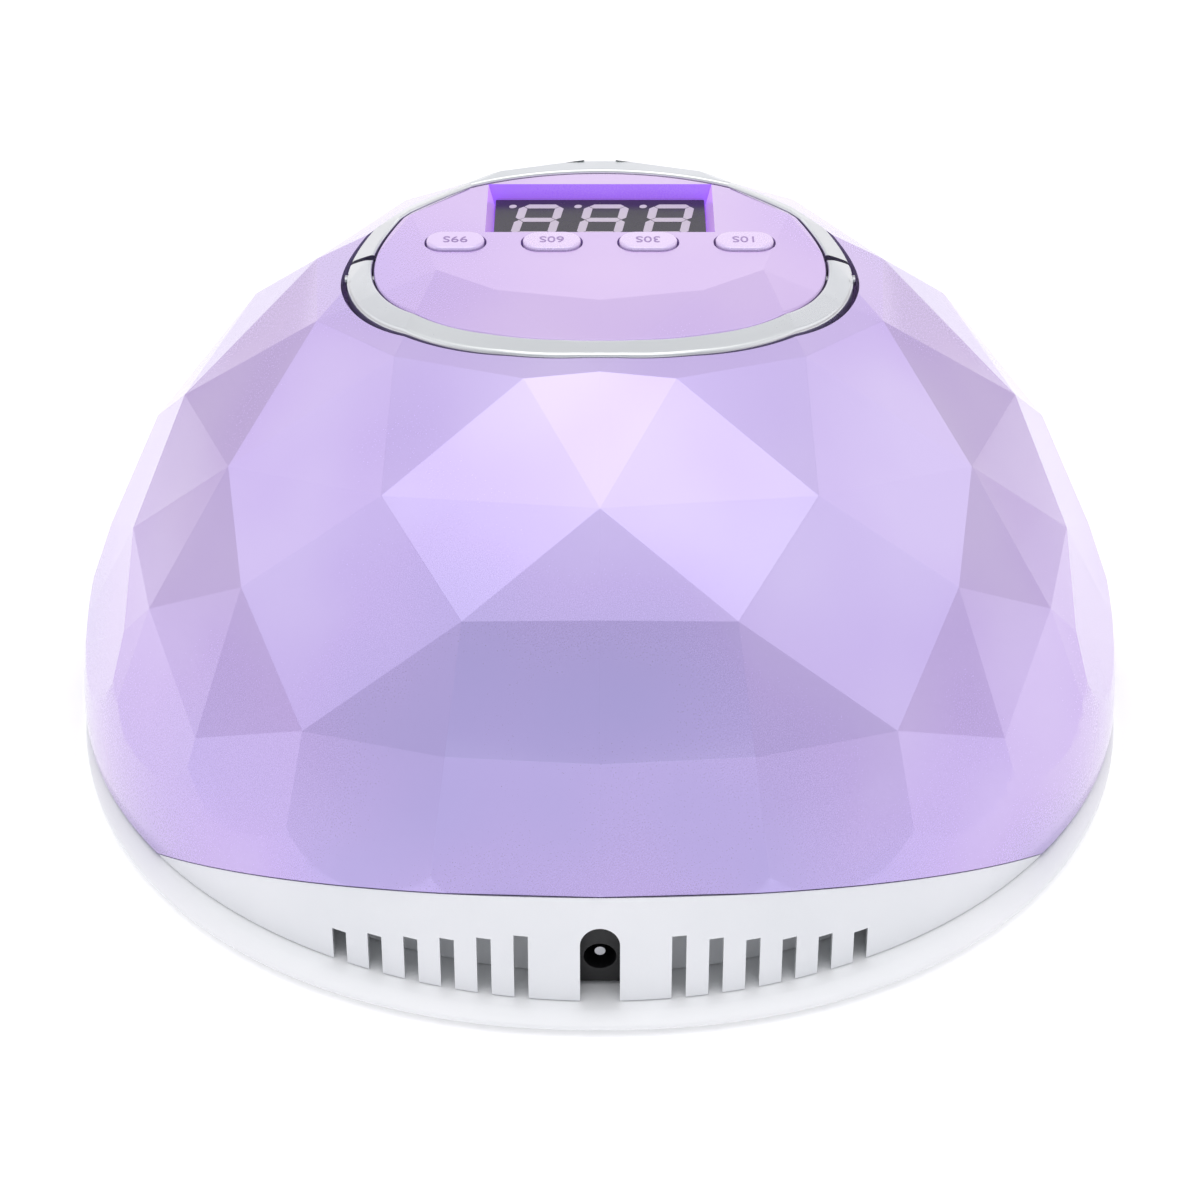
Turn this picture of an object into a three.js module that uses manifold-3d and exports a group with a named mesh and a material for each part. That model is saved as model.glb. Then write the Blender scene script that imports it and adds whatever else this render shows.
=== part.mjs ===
// UV and LED lamp for curing gel and resin: a faceted half-dome over a lift-off tray.
// Millimetres, +Z up. The origin is on the table under the middle of the tray, the hand
// opening faces -Y and the vents and the power inlet face +Y.
import * as THREE from 'three';
import { ConvexGeometry } from 'three/addons/geometries/ConvexGeometry.js';
import { mergeVertices } from 'three/addons/utils/BufferGeometryUtils.js';
import Module from 'manifold-3d';

const wasm = await Module();
wasm.setup();

// ---- driving dimensions ----
const domeHalfWidth = 108;        // smooth dome, half extents
const domeHalfDepth = 105.9;
const domeHeight = 108.3;
const facetInset = 0.4;           // the facet corners lie this far under the smooth dome
const shellWall = 2.3;
const shellFoot = 4.4;            // height of the shell's lower edge at the front and sides
const rearEdgeStart = 64.8;       // where the lower edge starts to rise, towards the rear
const rearEdgeAngle = 29.8;       // degrees
const fitGap = 0.35;              // between neighbours that are fastened together
const panelHeight = 100.8;        // flat top of the control panel, above the origin
const crownRise = domeHeight * 0.93075;  // flat top for which the corners' elevations are given
const ringHalfWidth = 48.9;       // chrome ring, outer edge in plan
const ringHalfDepth = 38.4;
const ringWidth = 4.9;
const ringProud = 0.5;
const ringDepth = 3.9;
const ringSideGap = 1.2;          // finger gap beside the ring's ends
const troughDepth = 7;
const panelFlange = 2;
const hingeDrop = 2.6;            // hinge axis below the ring's top
const knuckleRadius = 3.9;
const knuckleGap = 1.2;           // between a knuckle and the front arc's end
const pinRadius = 1;
const archHalfWidth = 76;         // hand opening
const archHeight = panelHeight * 5 / 9;
const archShoulder = 20;          // height at which the straight jambs end
const linerWall = 2;
const trayHalfWidth = 107.4;
const trayHalfDepth = 111;
const trayRoundness = 2.15;       // 2 is an ellipse, more is squarer
const trayThickness = 2.8;
const footProud = 0.8;            // feet stand this far out of the tray
const skirtWall = 1.9;
const housingFloor = 2.6;
const buttonWidth = 11.2;
const buttonDepth = 7;
const buttonPitch = ringHalfWidth * 0.3804;   // the buttons spread with the ring
const buttonRow = -2.9;           // y of the button row
const buttonProud = 0.8;
const buttonTravel = 0.8;
const buttonGap = 0.4;            // around a cap in its hole
const displayWidth = 37.8;
const displayDepth = 17.6;
const displayHeight = 7.2;
const displayRow = -17.7;         // y of the display's middle
const lensSideBorder = 2.3;       // lens beyond the display module
const lensEndBorder = 0.5;
const lensDrop = 2.7;             // lens below the panel top
const lensThickness = 1;
const boardDrop = 12.2;           // control board below the panel top
const boardThickness = 1.6;
const ledRadius = 2.5;
const jackWidth = 9.2;
const jackHeight = 15.4;
const jackLength = 14.1;
const jackBoreHeight = 10.6;
const inletWidth = 7.2;           // arched notch in front of the jack
const inletTop = 19.6;
const ventWidth = 2.6;
const ventPitch = 6.7;
const ventsPerSide = 6;
const ventStart = 12.9;           // x of the innermost vent
const ventTop = 17.4;             // height of the innermost vents
const ventStep = 1.35;            // each vent is this much lower than the last
const screwRadius = 1.2;
const screwHeadRadius = 2.4;
const screwHeadHeight = 1.5;
const magnetRadius = 4;
const magnetHeight = 3;
const keeperHeight = 0.9;

// ---- values worked out from them ----
const roundSides = 56;           // around the dome
const columnSides = 40;          // around the ring and the panel
const edgeRad = THREE.MathUtils.degToRad(rearEdgeAngle);
const trayTop = footProud + trayThickness;
const housingLow = trayTop + fitGap;
const housingTop = housingLow + housingFloor;
const islandHalfWidth = ringHalfWidth - ringWidth - fitGap;
const islandHalfDepth = ringHalfDepth - ringWidth - fitGap;
const panelWall = 2.1;
const roundGap = 0.3;             // around pins, screws, magnets and feet in their holes
const ledGap = 0.4;               // around an LED in its hole
const skinRows = 14;              // rows of the dome's skins
const flangeUnder = troughDepth + panelFlange;
const flangeReach = 12;           // flange beyond the ring, under the shell
const far = 150;                  // longer than any cut has to reach

// ---- solids ----
function solid(geometry) {
  const bare = geometry.clone();
  bare.deleteAttribute('normal');
  bare.deleteAttribute('uv');
  const merged = mergeVertices(bare, 1e-4);
  const vertProperties = new Float32Array(merged.attributes.position.array);
  const triVerts = new Uint32Array(merged.index.array);
  return new wasm.Manifold(new wasm.Mesh({ numProp: 3, vertProperties, triVerts }));
}

function geometryOf(body) {
  const { vertProperties, triVerts } = body.getMesh();
  const geometry = new THREE.BufferGeometry();
  geometry.setAttribute('position', new THREE.BufferAttribute(vertProperties, 3));
  geometry.setIndex(new THREE.BufferAttribute(triVerts, 1));
  geometry.computeVertexNormals();
  return geometry;
}

function joined(bodies) {
  return bodies.reduce((whole, body) => whole.add(body));
}

function without(body, cuts) {
  return cuts.reduce((rest, cut) => rest.subtract(cut), body);
}

// Box from its low and high corners.
function block(low, high) {
  const size = high.map((value, axis) => value - low[axis]);
  const box = new THREE.BoxGeometry(...size);
  box.translate(...high.map((value, axis) => (value + low[axis]) / 2));
  return box;
}

// Upright round bar.
function bar(x, y, radius, low, high, sides = 20) {
  const rod = new THREE.CylinderGeometry(radius, radius, high - low, sides);
  rod.rotateX(Math.PI / 2);
  rod.translate(x, y, (low + high) / 2);
  return rod;
}

// Upright oval column.
function column(halfWidth, halfDepth) {
  const drum = new THREE.CylinderGeometry(1, 1, far, columnSides);
  drum.rotateX(Math.PI / 2);
  drum.translate(0, 0, far / 2);
  drum.scale(halfWidth, halfDepth, 1);
  return solid(drum);
}

// Rod along X.
function crossRod(fromX, toX, y, z, radius, sides = 24) {
  const rod = new THREE.CylinderGeometry(radius, radius, toX - fromX, sides);
  rod.rotateZ(Math.PI / 2);
  rod.translate((fromX + toX) / 2, y, z);
  return rod;
}

// ---- dome surfaces ----
// Facet corners as bearing from the rear centreline and elevation, in degrees, on one side.
const facetCorners = [
  [0, 66], [17.3, 64.5], [49, 62.3], [76, 59], [106, 57], [135, 58.4], [160, 59],
  [0, 51.3], [33.7, 49], [62.5, 43.2], [88.8, 40.1], [112.8, 44.4], [138, 43], [161, 45],
  [180, 47],
  [0, 40.5], [17, 39.3], [48.1, 34.9], [75.4, 28.9], [95.9, 32.7], [121, 31], [147, 33], [166, 36],
  [0, 27], [16.5, 26.4], [33.3, 25], [47.5, 18.6], [62.4, 26], [66.4, 21.1], [86.5, 22.7], [108, 21],
  [130, 22],
];
// Corners below the dome's edge band: they lie outside the smooth dome, so that it takes over.
const skirtCorners = [0, 17, 33, 48, 64, 86, 108, 130, 152, 180].map((bearing) => [bearing, 6]);
const skirtSpread = 1.03;
// Corners of the flat top in plan, on one side.
const topCorners = [[0, 20.2], [19.5, 16.3], [31, 8.3], [37, -15], [20, -33], [0, -39]];

function domePoint(bearing, elevation, spread) {
  const around = THREE.MathUtils.degToRad(bearing);
  const up = THREE.MathUtils.degToRad(elevation);
  return new THREE.Vector3(
    domeHalfWidth * spread * Math.cos(up) * Math.sin(around),
    domeHalfDepth * spread * Math.cos(up) * Math.cos(around),
    domeHeight * spread * Math.sin(up) * (panelHeight / crownRise),
  );
}

function bothSides(points) {
  const mirrored = points.map((point) => new THREE.Vector3(-point.x, point.y, point.z));
  return points.concat(mirrored.filter((point) => Math.abs(point.x) > 1e-6));
}

const cornerSpread = 1 - facetInset / domeHalfWidth;
const facetPoints = bothSides([
  ...facetCorners.map(([bearing, elevation]) => domePoint(bearing, elevation, cornerSpread)),
  ...skirtCorners.map(([bearing, elevation]) => domePoint(bearing, elevation, skirtSpread)),
  ...skirtCorners.map(([bearing]) => domePoint(bearing, 0, skirtSpread)),
  ...topCorners.map(([x, y]) => new THREE.Vector3(x, y, panelHeight)),
]);

// Faceted block whose surface lies inset under the outside.
function facets(inset) {
  const hull = new ConvexGeometry(facetPoints);
  const share = 1 - inset / domeHalfWidth;
  hull.scale(share, share, share);
  return solid(hull);
}

const steepest = 0.05;            // a face steeper than this isn't roof

// Height of the faceted surface over a point in plan.
function roofHeight(x, y, inset) {
  const share = 1 - inset / domeHalfWidth;
  const corners = new ConvexGeometry(facetPoints).attributes.position;
  const face = new THREE.Triangle();
  const plane = new THREE.Plane();
  let height = Infinity;
  for (let first = 0; first < corners.count; first += 3) {
    face.setFromAttributeAndIndices(corners, first, first + 1, first + 2);
    face.getPlane(plane);
    const { normal, constant } = plane;
    if (normal.z < steepest) {
      continue;
    }
    height = Math.min(height, -(constant * share + normal.x * x + normal.y * y) / normal.z);
  }
  return height;
}

// Smooth dome between two heights, inset under the outside.
function dome(inset, low, high, rows = 9) {
  const rise = domeHeight - inset;
  const width = domeHalfWidth - inset;
  const profile = [new THREE.Vector2(0, low)];
  const startAngle = Math.asin(low / rise);
  const endAngle = Math.asin(Math.min(high / rise, 1));
  for (let row = 0; row <= rows; row += 1) {
    const angle = startAngle + (endAngle - startAngle) * (row / rows);
    profile.push(new THREE.Vector2(width * Math.cos(angle), rise * Math.sin(angle)));
  }
  profile.push(new THREE.Vector2(0, Math.min(high, rise)));
  const turned = new THREE.LatheGeometry(profile, roundSides);
  turned.rotateX(Math.PI / 2);
  turned.scale(1, (domeHalfDepth - inset) / width, 1);
  return solid(turned);
}

// Everything below the shell's rising rear edge, lifted by rise.
function underRearEdge(rise) {
  const wedge = new THREE.BoxGeometry(3 * far, 2 * far, 2 * far);
  wedge.translate(0, far, -far);
  wedge.rotateX(edgeRad);
  wedge.translate(0, rearEdgeStart, shellFoot + rise);
  return solid(wedge);
}

// Hand opening, grown by margin, running from the front back to a given y.
function archway(margin, toY, low = -1) {
  const outline = new THREE.Shape();
  const half = archHalfWidth + margin;
  outline.moveTo(-half, low);
  outline.lineTo(half, low);
  outline.lineTo(half, archShoulder);
  outline.absellipse(0, archShoulder, half, archHeight + margin - archShoulder, 0, Math.PI);
  const cut = new THREE.ExtrudeGeometry(outline, {
    depth: far + toY, bevelEnabled: false, curveSegments: 20,
  });
  cut.rotateX(Math.PI / 2);
  cut.translate(0, toY, 0);
  return solid(cut);
}

// ---- finishes and nodes ----
function finish(colour, roughness, metalness = 0) {
  return new THREE.MeshStandardMaterial({ color: colour, roughness, metalness });
}

const lamp = new THREE.Group();

function add(name, geometry, material, parent = lamp) {
  const mesh = new THREE.Mesh(geometry, material);
  mesh.name = name;
  parent.add(mesh);
  return mesh;
}

const lilac = () => finish(0xc8b4e8, 0.22);
const white = () => finish(0xe9ebec, 0.4);
const chrome = () => finish(0xd0d5d4, 0.28, 0.9);
const steel = () => finish(0xb8babd, 0.35, 0.9);
const blackPlastic = () => finish(0x151517, 0.5);
const greenBoard = () => finish(0x1d5a3a, 0.5);

// Places of the fasteners and magnets.
const housingScrewBearings = [30, 78, 120];
const postInset = 11;
function ringPlace(bearing, inset) {
  const around = THREE.MathUtils.degToRad(bearing);
  return [(domeHalfWidth - inset) * Math.sin(around), (domeHalfDepth - inset) * Math.cos(around)];
}
const housingScrews = housingScrewBearings.flatMap((bearing) => [
  ringPlace(bearing, postInset), ringPlace(-bearing, postInset),
]);
const panelScrews = [45, 135, 225, 315].map((bearing) => {
  const around = THREE.MathUtils.degToRad(bearing);
  const reach = flangeReach - 4;
  return [(ringHalfWidth + reach) * Math.cos(around), (ringHalfDepth + reach) * Math.sin(around)];
});
const magnetInset = 15;
const magnetCup = magnetRadius + 1.6;
const magnets = [56, 104].flatMap((bearing) => [
  ringPlace(bearing, magnetInset), ringPlace(-bearing, magnetInset),
]);

// ---- outer shell ----
const shellOpening = column(ringHalfWidth + ringSideGap, ringHalfDepth + fitGap);
const outerSkin = dome(0, shellFoot, far, skinRows).intersect(facets(0));
const innerSkin = dome(shellWall, 1, far, skinRows).intersect(facets(shellWall));
const postRadius = 3.4;
const pilotRadius = screwRadius + fitGap;
const postTop = 60;               // inside the shell's roof
const shellPosts = housingScrews.map(([x, y]) => (
  solid(bar(x, y, postRadius, housingTop + fitGap, postTop, 14))
));
const panelPostRadius = 2.8;
const screwReach = 5;             // of a screw into its post
const panelPosts = joined(panelScrews.map(([x, y]) => {
  const low = roofHeight(x, y, troughDepth) - screwReach;
  return solid(bar(x, y, panelPostRadius, low, low + 17, 10));
})).subtract(facets(troughDepth - fitGap));
const postDrill = housingScrews.map(([x, y]) => (
  solid(bar(x, y, pilotRadius, 0, housingTop + 12, 8))
));
const panelDrill = panelScrews.map(([x, y]) => {
  const low = roofHeight(x, y, troughDepth);
  return solid(bar(x, y, pilotRadius, low - screwReach, low + 4.2, 8));
});
const shellBody = without(
  joined([
    outerSkin.subtract(innerSkin),
    joined([...shellPosts, panelPosts]).intersect(outerSkin),
  ]),
  [
    shellOpening,
    underRearEdge(0),
    archway(fitGap, 0),
    ...postDrill,
    ...panelDrill,
  ],
);
add('outer_shell', geometryOf(shellBody), lilac());

// ---- control panel: island, trough for the ring and flange under the shell ----
const panelFrame = new THREE.Group();
panelFrame.position.z = panelHeight;
lamp.add(panelFrame);
panelFrame.updateMatrix();

function onPanel(geometry) {
  return solid(geometry.applyMatrix4(panelFrame.matrix));
}

function slab(x, y, width, depth, low, high) {
  return block([x - width / 2, y - depth / 2, low], [x + width / 2, y + depth / 2, high]);
}

function pill(width, depth, height) {
  const radius = depth / 2 - 0.2;
  const outline = new THREE.Shape();
  const right = width / 2;
  const back = depth / 2;
  outline.moveTo(-right + radius, -back);
  outline.lineTo(right - radius, -back);
  outline.absarc(right - radius, -back + radius, radius, -Math.PI / 2, 0);
  outline.absarc(right - radius, back - radius, radius, 0, Math.PI / 2);
  outline.lineTo(-right + radius, back);
  outline.absarc(-right + radius, back - radius, radius, Math.PI / 2, Math.PI);
  outline.absarc(-right + radius, -back + radius, radius, Math.PI, 1.5 * Math.PI);
  return new THREE.ExtrudeGeometry(outline, { depth: height, bevelEnabled: false, curveSegments: 3 });
}

const buttonNames = ['10s', '30s', '60s', '99s'];
const buttonPlaces = buttonNames.map((label, index) => (index - 1.5) * buttonPitch);
const troughOuter = [ringHalfWidth + ringSideGap + roundGap, ringHalfDepth + fitGap + 0.5];
const rimWall = 2;
const island = column(islandHalfWidth, islandHalfDepth).intersect(facets(0));
const flange = column(ringHalfWidth + flangeReach, ringHalfDepth + flangeReach)
  .intersect(facets(troughDepth));
const rim = column(troughOuter[0] + rimWall, troughOuter[1] + rimWall)
  .subtract(column(...troughOuter))
  .intersect(facets(shellWall + fitGap))
  .intersect(dome(shellWall + fitGap, 1, far, skinRows));
const lensPocket = [displayWidth + 2 * lensSideBorder, displayDepth + 2 * lensEndBorder];
const displayFrame = onPanel(
  slab(0, displayRow, lensPocket[0] + 2, lensPocket[1] + 2, -lensDrop - lensThickness - 2, -1),
).intersect(island);
const hollow = column(islandHalfWidth - panelWall, islandHalfDepth - panelWall)
  .intersect(facets(panelWall));
const boardPostShares = [[0.733, 0.2715], [0.7102, -0.4374]];   // of the island's half extents
const boardPosts = boardPostShares.flatMap(([across, along]) => [
  [across * islandHalfWidth, along * islandHalfDepth],
  [-across * islandHalfWidth, along * islandHalfDepth],
]);
const boardScrewRadius = 0.8;
const boardPostBodies = boardPosts.map(([x, y]) => (
  onPanel(bar(x, y, 2.2, -boardDrop + fitGap, -1, 10))
));
const boardDrill = boardPosts.map(([x, y]) => (
  onPanel(bar(x, y, boardScrewRadius + roundGap, -boardDrop - 1, -4, 8))
));
const buttonHoles = buttonPlaces.map((x) => {
  const hole = pill(buttonWidth + 2 * buttonGap, buttonDepth + 2 * buttonGap, 8);
  hole.translate(x, buttonRow, -6);
  return onPanel(hole);
});
const lensCut = onPanel(slab(0, displayRow, ...lensPocket, -lensDrop - lensThickness - fitGap, 5));
const displayCut = onPanel(
  slab(0, displayRow, displayWidth + 2 * fitGap, displayDepth + 2 * fitGap, -20, 1),
);
const hingeX = ringHalfWidth - ringWidth / 2;
const hingeZ = roofHeight(hingeX, 0, -ringProud) - hingeDrop;
const pinLow = islandHalfWidth - panelWall - 1.5;
const pinHigh = ringHalfWidth + 0.4;
const pinHole = solid(crossRod(-far, far, 0, hingeZ, pinRadius + roundGap));
const panelBase = joined([island, flange, rim]).subtract(facets(flangeUnder));
const flangeHoles = panelScrews.map(([x, y]) => {
  const low = roofHeight(x, y, flangeUnder);
  return solid(bar(x, y, pilotRadius, low - 5, low + 10, 8));
});
const flangeSeats = panelScrews.map(([x, y]) => {
  const low = roofHeight(x, y, flangeUnder);
  return solid(bar(x, y, screwHeadRadius + 0.5, low - 5, low + 0.5, 12));
});
const panelBody = without(
  joined([
    panelBase.subtract(hollow.subtract(displayFrame)),
    joined(boardPostBodies).intersect(facets(0.5)),
  ]),
  [lensCut, displayCut, pinHole, ...buttonHoles, ...boardDrill, ...flangeHoles, ...flangeSeats],
);
add('control_panel', geometryOf(panelBody), lilac());

panelScrews.forEach(([x, y], index) => {
  const seat = roofHeight(x, y, flangeUnder) + 0.5 - fitGap;
  const head = solid(bar(x, y, screwHeadRadius, seat - screwHeadHeight, seat, 12));
  const shank = solid(bar(x, y, screwRadius, seat - 0.5, seat + 5, 8));
  add(`panel_screw_${index + 1}`, geometryOf(head.add(shank)), steel());
});

// ---- chrome ring: a folding rear bail and a fixed front arc ----
const ringDraft = 0.8;
const ringBand = column(ringHalfWidth, ringHalfDepth)
  .subtract(column(ringHalfWidth - ringWidth, ringHalfDepth - ringWidth))
  .intersect(facets(-ringProud))
  .subtract(facets(ringDepth - ringProud));
const rearHalf = solid(block([-far, 0, 0], [far, far, far]));
const knuckles = solid(crossRod(-far, far, 0, hingeZ, knuckleRadius));
const knuckleRoom = solid(crossRod(-far, far, 0, hingeZ, knuckleRadius + knuckleGap));
const underDraft = column(islandHalfWidth + ringDraft, islandHalfDepth + ringDraft).intersect(facets(1.6));
const bail = ringBand.intersect(rearHalf.add(knuckles))
  .subtract(pinHole)
  .subtract(underDraft.intersect(rearHalf).subtract(knuckleRoom));
add('carry_handle', geometryOf(bail), chrome());
add('front_trim_arc', geometryOf(ringBand.subtract(rearHalf).subtract(knuckleRoom)), chrome());
add('handle_pin_left', crossRod(-pinHigh, -pinLow, 0, hingeZ, pinRadius, 14), steel());
add('handle_pin_right', crossRod(pinLow, pinHigh, 0, hingeZ, pinRadius, 14), steel());

// ---- display, buttons and control board ----
add('display_lens', slab(
  0, displayRow, lensPocket[0] - 2 * 0.3, lensPocket[1] - 2 * 0.3,
  -lensDrop - lensThickness, -lensDrop,
), finish(0x524e58, 0.2), panelFrame);
const displayTop = -lensDrop - lensThickness - fitGap;
add('display_module', slab(
  0, displayRow, displayWidth, displayDepth, displayTop - displayHeight, displayTop,
), blackPlastic(), panelFrame);
const boardHalf = [islandHalfWidth - panelWall - 2.6, islandHalfDepth - panelWall - 2.6];
const boardOutline = new THREE.Shape();
boardOutline.absellipse(0, 0, ...boardHalf, 0, 2 * Math.PI);
const boardBlank = new THREE.ExtrudeGeometry(boardOutline, {
  depth: boardThickness, bevelEnabled: false, curveSegments: 12,
});
boardBlank.translate(0, 0, -boardDrop - boardThickness);
const controlBoard = without(solid(boardBlank), boardPosts.map(([x, y]) => (
  solid(bar(x, y, 1.5, -boardDrop - 4, -boardDrop + 1, 8))
)));
add('control_board', geometryOf(controlBoard), greenBoard(), panelFrame);
boardPosts.forEach(([x, y], index) => {
  const under = -boardDrop - boardThickness - fitGap;
  const head = solid(bar(x, y, 2, under - 1.3, under, 10));
  const shank = solid(bar(x, y, boardScrewRadius, under - 0.5, -boardDrop + 4, 8));
  add(`board_screw_${index + 1}`, geometryOf(head.add(shank)), steel(), panelFrame);
});

const switchBody = 3.6;
const switchStem = 1;
const switchTop = -boardDrop + 0.3 + switchBody + switchStem;
buttonNames.forEach((label, index) => {
  const x = buttonPlaces[index];
  const cap = pill(buttonWidth, buttonDepth, buttonProud + panelWall);
  cap.translate(x, buttonRow, -panelWall);
  const collar = pill(buttonWidth + 2, buttonDepth + 2, 1.2);
  collar.translate(x, buttonRow, -panelWall - fitGap - 1.2);
  const stem = bar(x, buttonRow, 1.6, switchTop + buttonTravel + 0.3, -1, 8);
  const neck = pill(buttonWidth - 1, buttonDepth - 1, 2);
  neck.translate(x, buttonRow, -panelWall - 1);
  const body = joined([solid(cap), solid(neck), solid(collar), solid(stem)]);
  add(`button_${label}`, geometryOf(body), lilac(), panelFrame);
  const low = -boardDrop + 0.3;
  const base = solid(slab(x, buttonRow, 6, 6, low, low + switchBody));
  const plunger = solid(bar(x, buttonRow, 1.7, low + 1, switchTop, 8));
  add(`switch_${label}`, geometryOf(base.add(plunger)), blackPlastic(), panelFrame);
});

// ---- inner liner: white reflector with a sleeve through the shell ----
const chamber = {
  bottomHalfWidth: 72, topHalfWidth: 50, bottomRear: 60, topRear: 46,
  bottomFront: -62, topFront: -54, top: panelHeight - 28.8,
};
const linerLow = trayTop + 0.5;
// Tapered block inside the chamber's walls; low may lie under the liner's foot.
function chamberBody(inset, low) {
  const below = (linerLow - low) / (chamber.top - linerLow);
  function reachAtLow(bottom, top) {
    return bottom + (bottom - top) * below;
  }
  const { topHalfWidth, topRear, topFront } = chamber;
  const corners = [-1, 1].flatMap((side) => {
    const lowX = side * (reachAtLow(chamber.bottomHalfWidth, topHalfWidth) - inset);
    const highX = side * (topHalfWidth - inset);
    return [
      new THREE.Vector3(lowX, reachAtLow(chamber.bottomRear, topRear) - inset, low),
      new THREE.Vector3(lowX, reachAtLow(chamber.bottomFront, topFront) + inset, low),
      new THREE.Vector3(highX, topRear - inset, chamber.top - inset),
      new THREE.Vector3(highX, topFront + inset, chamber.top - inset),
    ];
  });
  return solid(new ConvexGeometry(corners));
}
const chamberOuter = chamberBody(0, linerLow);
const chamberInner = chamberBody(linerWall, linerLow - 1);
const linerFootInset = 19;
const linerFoot = dome(linerFootInset, housingTop + fitGap, housingTop + fitGap + 1.6, 2)
  .subtract(solid(block([-far, chamber.bottomRear, 0], [far, far, far])))
  .subtract(joined(magnets.map(([x, y]) => solid(bar(x, y, magnetCup + fitGap, 0, 30, 20)))));
const sleeveBack = -45;
const sleeveProud = 0.7;          // the sleeve stands out of the shell
const sleeve = archway(-fitGap, sleeveBack, linerLow)
  .intersect(dome(-sleeveProud, 1, far, skinRows))
  .intersect(facets(-sleeveProud));
const sleeveBore = archway(-fitGap - linerWall, sleeveBack - linerWall, -1); // leaves a plate round the chamber

// A wall of the chamber as a frame: x along the wall, y up its slope, z outwards. The LED board
// takes a share of the slope, and its rows lie at shares of it from the middle.
function wall(low, high, along, width, columns, heightShare, rowShares) {
  const slope = high.distanceTo(low);
  const up = high.clone().sub(low).normalize();
  const out = along.clone().cross(up);
  const middle = low.clone().add(high).multiplyScalar(0.5);
  return {
    frame: new THREE.Matrix4().makeBasis(along, up, out).setPosition(middle),
    size: [width, slope * heightShare],
    columns,
    rows: rowShares.map((share) => share * slope),
  };
}

function sideWall(side) {
  return wall(
    new THREE.Vector3(side * chamber.bottomHalfWidth, 0, linerLow),
    new THREE.Vector3(side * chamber.topHalfWidth, 0, chamber.top),
    new THREE.Vector3(0, side, 0),
    80, [-30, 0, 30], 0.6725, [-0.2242, 0, 0.2242],
  );
}

const walls = {
  top: wall(
    new THREE.Vector3(0, chamber.topFront, chamber.top),
    new THREE.Vector3(0, chamber.topRear, chamber.top),
    new THREE.Vector3(1, 0, 0),
    80, [-32, -16, 0, 16, 32], 0.66, [-0.25, 0, 0.25],
  ),
  right: sideWall(1),
  left: sideWall(-1),
  rear: wall(
    new THREE.Vector3(0, chamber.bottomRear, linerLow),
    new THREE.Vector3(0, chamber.topRear, chamber.top),
    new THREE.Vector3(-1, 0, 0),
    62, [-22, 0, 22], 0.5193, [-0.1298, 0.1298],
  ),
};
const ledSides = 8;
const ledNose = linerWall + ledGap;
function ledPlaces({ columns, rows }) {
  return columns.flatMap((x) => rows.map((y) => [x, y]));
}
function led(x, y) {
  const profile = [new THREE.Vector2(0, -ledNose - ledRadius)];
  for (let step = 1; step <= 3; step += 1) {
    const angle = (step / 3) * (Math.PI / 2);
    profile.push(new THREE.Vector2(ledRadius * Math.sin(angle), -ledNose - ledRadius * Math.cos(angle)));
  }
  const seat = fitGap + 0.5;        // the LED reaches into its board
  profile.push(new THREE.Vector2(ledRadius, seat));
  profile.push(new THREE.Vector2(0, seat));
  const turned = new THREE.LatheGeometry(profile, ledSides);
  turned.rotateX(Math.PI / 2);
  turned.translate(x, y, 0);
  return solid(turned);
}
const sensors = { ir_emitter: [-8, -41], ir_receiver: [8, -41] };
const roofMiddle = (chamber.topFront + chamber.topRear) / 2;
const holeCuts = Object.values(sensors).map(([x, y]) => (
  solid(bar(x, y + roofMiddle, ledRadius + ledGap, chamber.top - 8, chamber.top + 6, ledSides))
));
Object.values(walls).forEach((side) => {
  ledPlaces(side).forEach(([x, y]) => {
    const hole = bar(x, y, ledRadius + ledGap, -linerWall - 6, 6, ledSides);
    holeCuts.push(solid(hole.applyMatrix4(side.frame)));
  });
});
const linerBody = without(
  joined([chamberOuter, linerFoot, sleeve]),
  [chamberInner, sleeveBore, ...holeCuts],
);
add('inner_liner', geometryOf(linerBody), white());

Object.entries(sensors).forEach(([name, [x, y]]) => {
  const cap = solid(slab(x, y, 8, 8, fitGap, fitGap + boardThickness));
  const mesh = add(name, geometryOf(cap.add(led(x, y))), finish(0x2b1a33, 0.3));
  mesh.applyMatrix4(walls.top.frame);
});

Object.entries(walls).forEach(([name, side]) => {
  const [width, depth] = side.size;
  const plate = solid(slab(0, 0, width, depth, fitGap, fitGap + boardThickness));
  const body = joined([plate, ...ledPlaces(side).map(([x, y]) => led(x, y))]);
  const mesh = add(`led_board_${name}`, geometryOf(body), finish(0xf2f2ea, 0.45));
  mesh.applyMatrix4(side.frame);
});

// ---- base housing: vented skirt at the rear, lip behind the shell, floor with posts ----
const skirtInset = 0.3;
const baffleInset = 8;
const baffleWall = 1.6;
const lipInset = shellWall + fitGap;
const lipWall = 1.8;
const lipRise = 6;
const floorInset = 24;
const skirtLow = housingLow - 0.1;
const skirtTop = 40;
// Upright wall that follows the dome between two insets.
function hoop(outer, inner) {
  return dome(outer, skirtLow, skirtTop, 5).subtract(dome(inner, skirtLow - 1, skirtTop + 1, 5));
}
const behindEdge = solid(block([-far, rearEdgeStart + 3, 0], [far, far, far]));
const upToFloor = solid(block([-far, -far, 0], [far, far, housingTop]));
const upToSideLip = solid(block([-far, -far, 0], [far, far, housingTop + 3]));
const skirt = hoop(skirtInset, skirtInset + skirtWall).intersect(underRearEdge(-fitGap));
const skirtRoof = hoop(skirtInset + 0.5, baffleInset + 1)
  .intersect(underRearEdge(-fitGap))
  .subtract(underRearEdge(-fitGap - 2));
const baffle = hoop(baffleInset, baffleInset + baffleWall).intersect(underRearEdge(-fitGap - 0.5));
const lip = hoop(lipInset, lipInset + lipWall).intersect(facets(lipInset));
const rearLip = lip.intersect(underRearEdge(lipRise)).subtract(underRearEdge(-fitGap - 1.5));
const sideLip = lip.intersect(upToSideLip).subtract(behindEdge);
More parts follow.
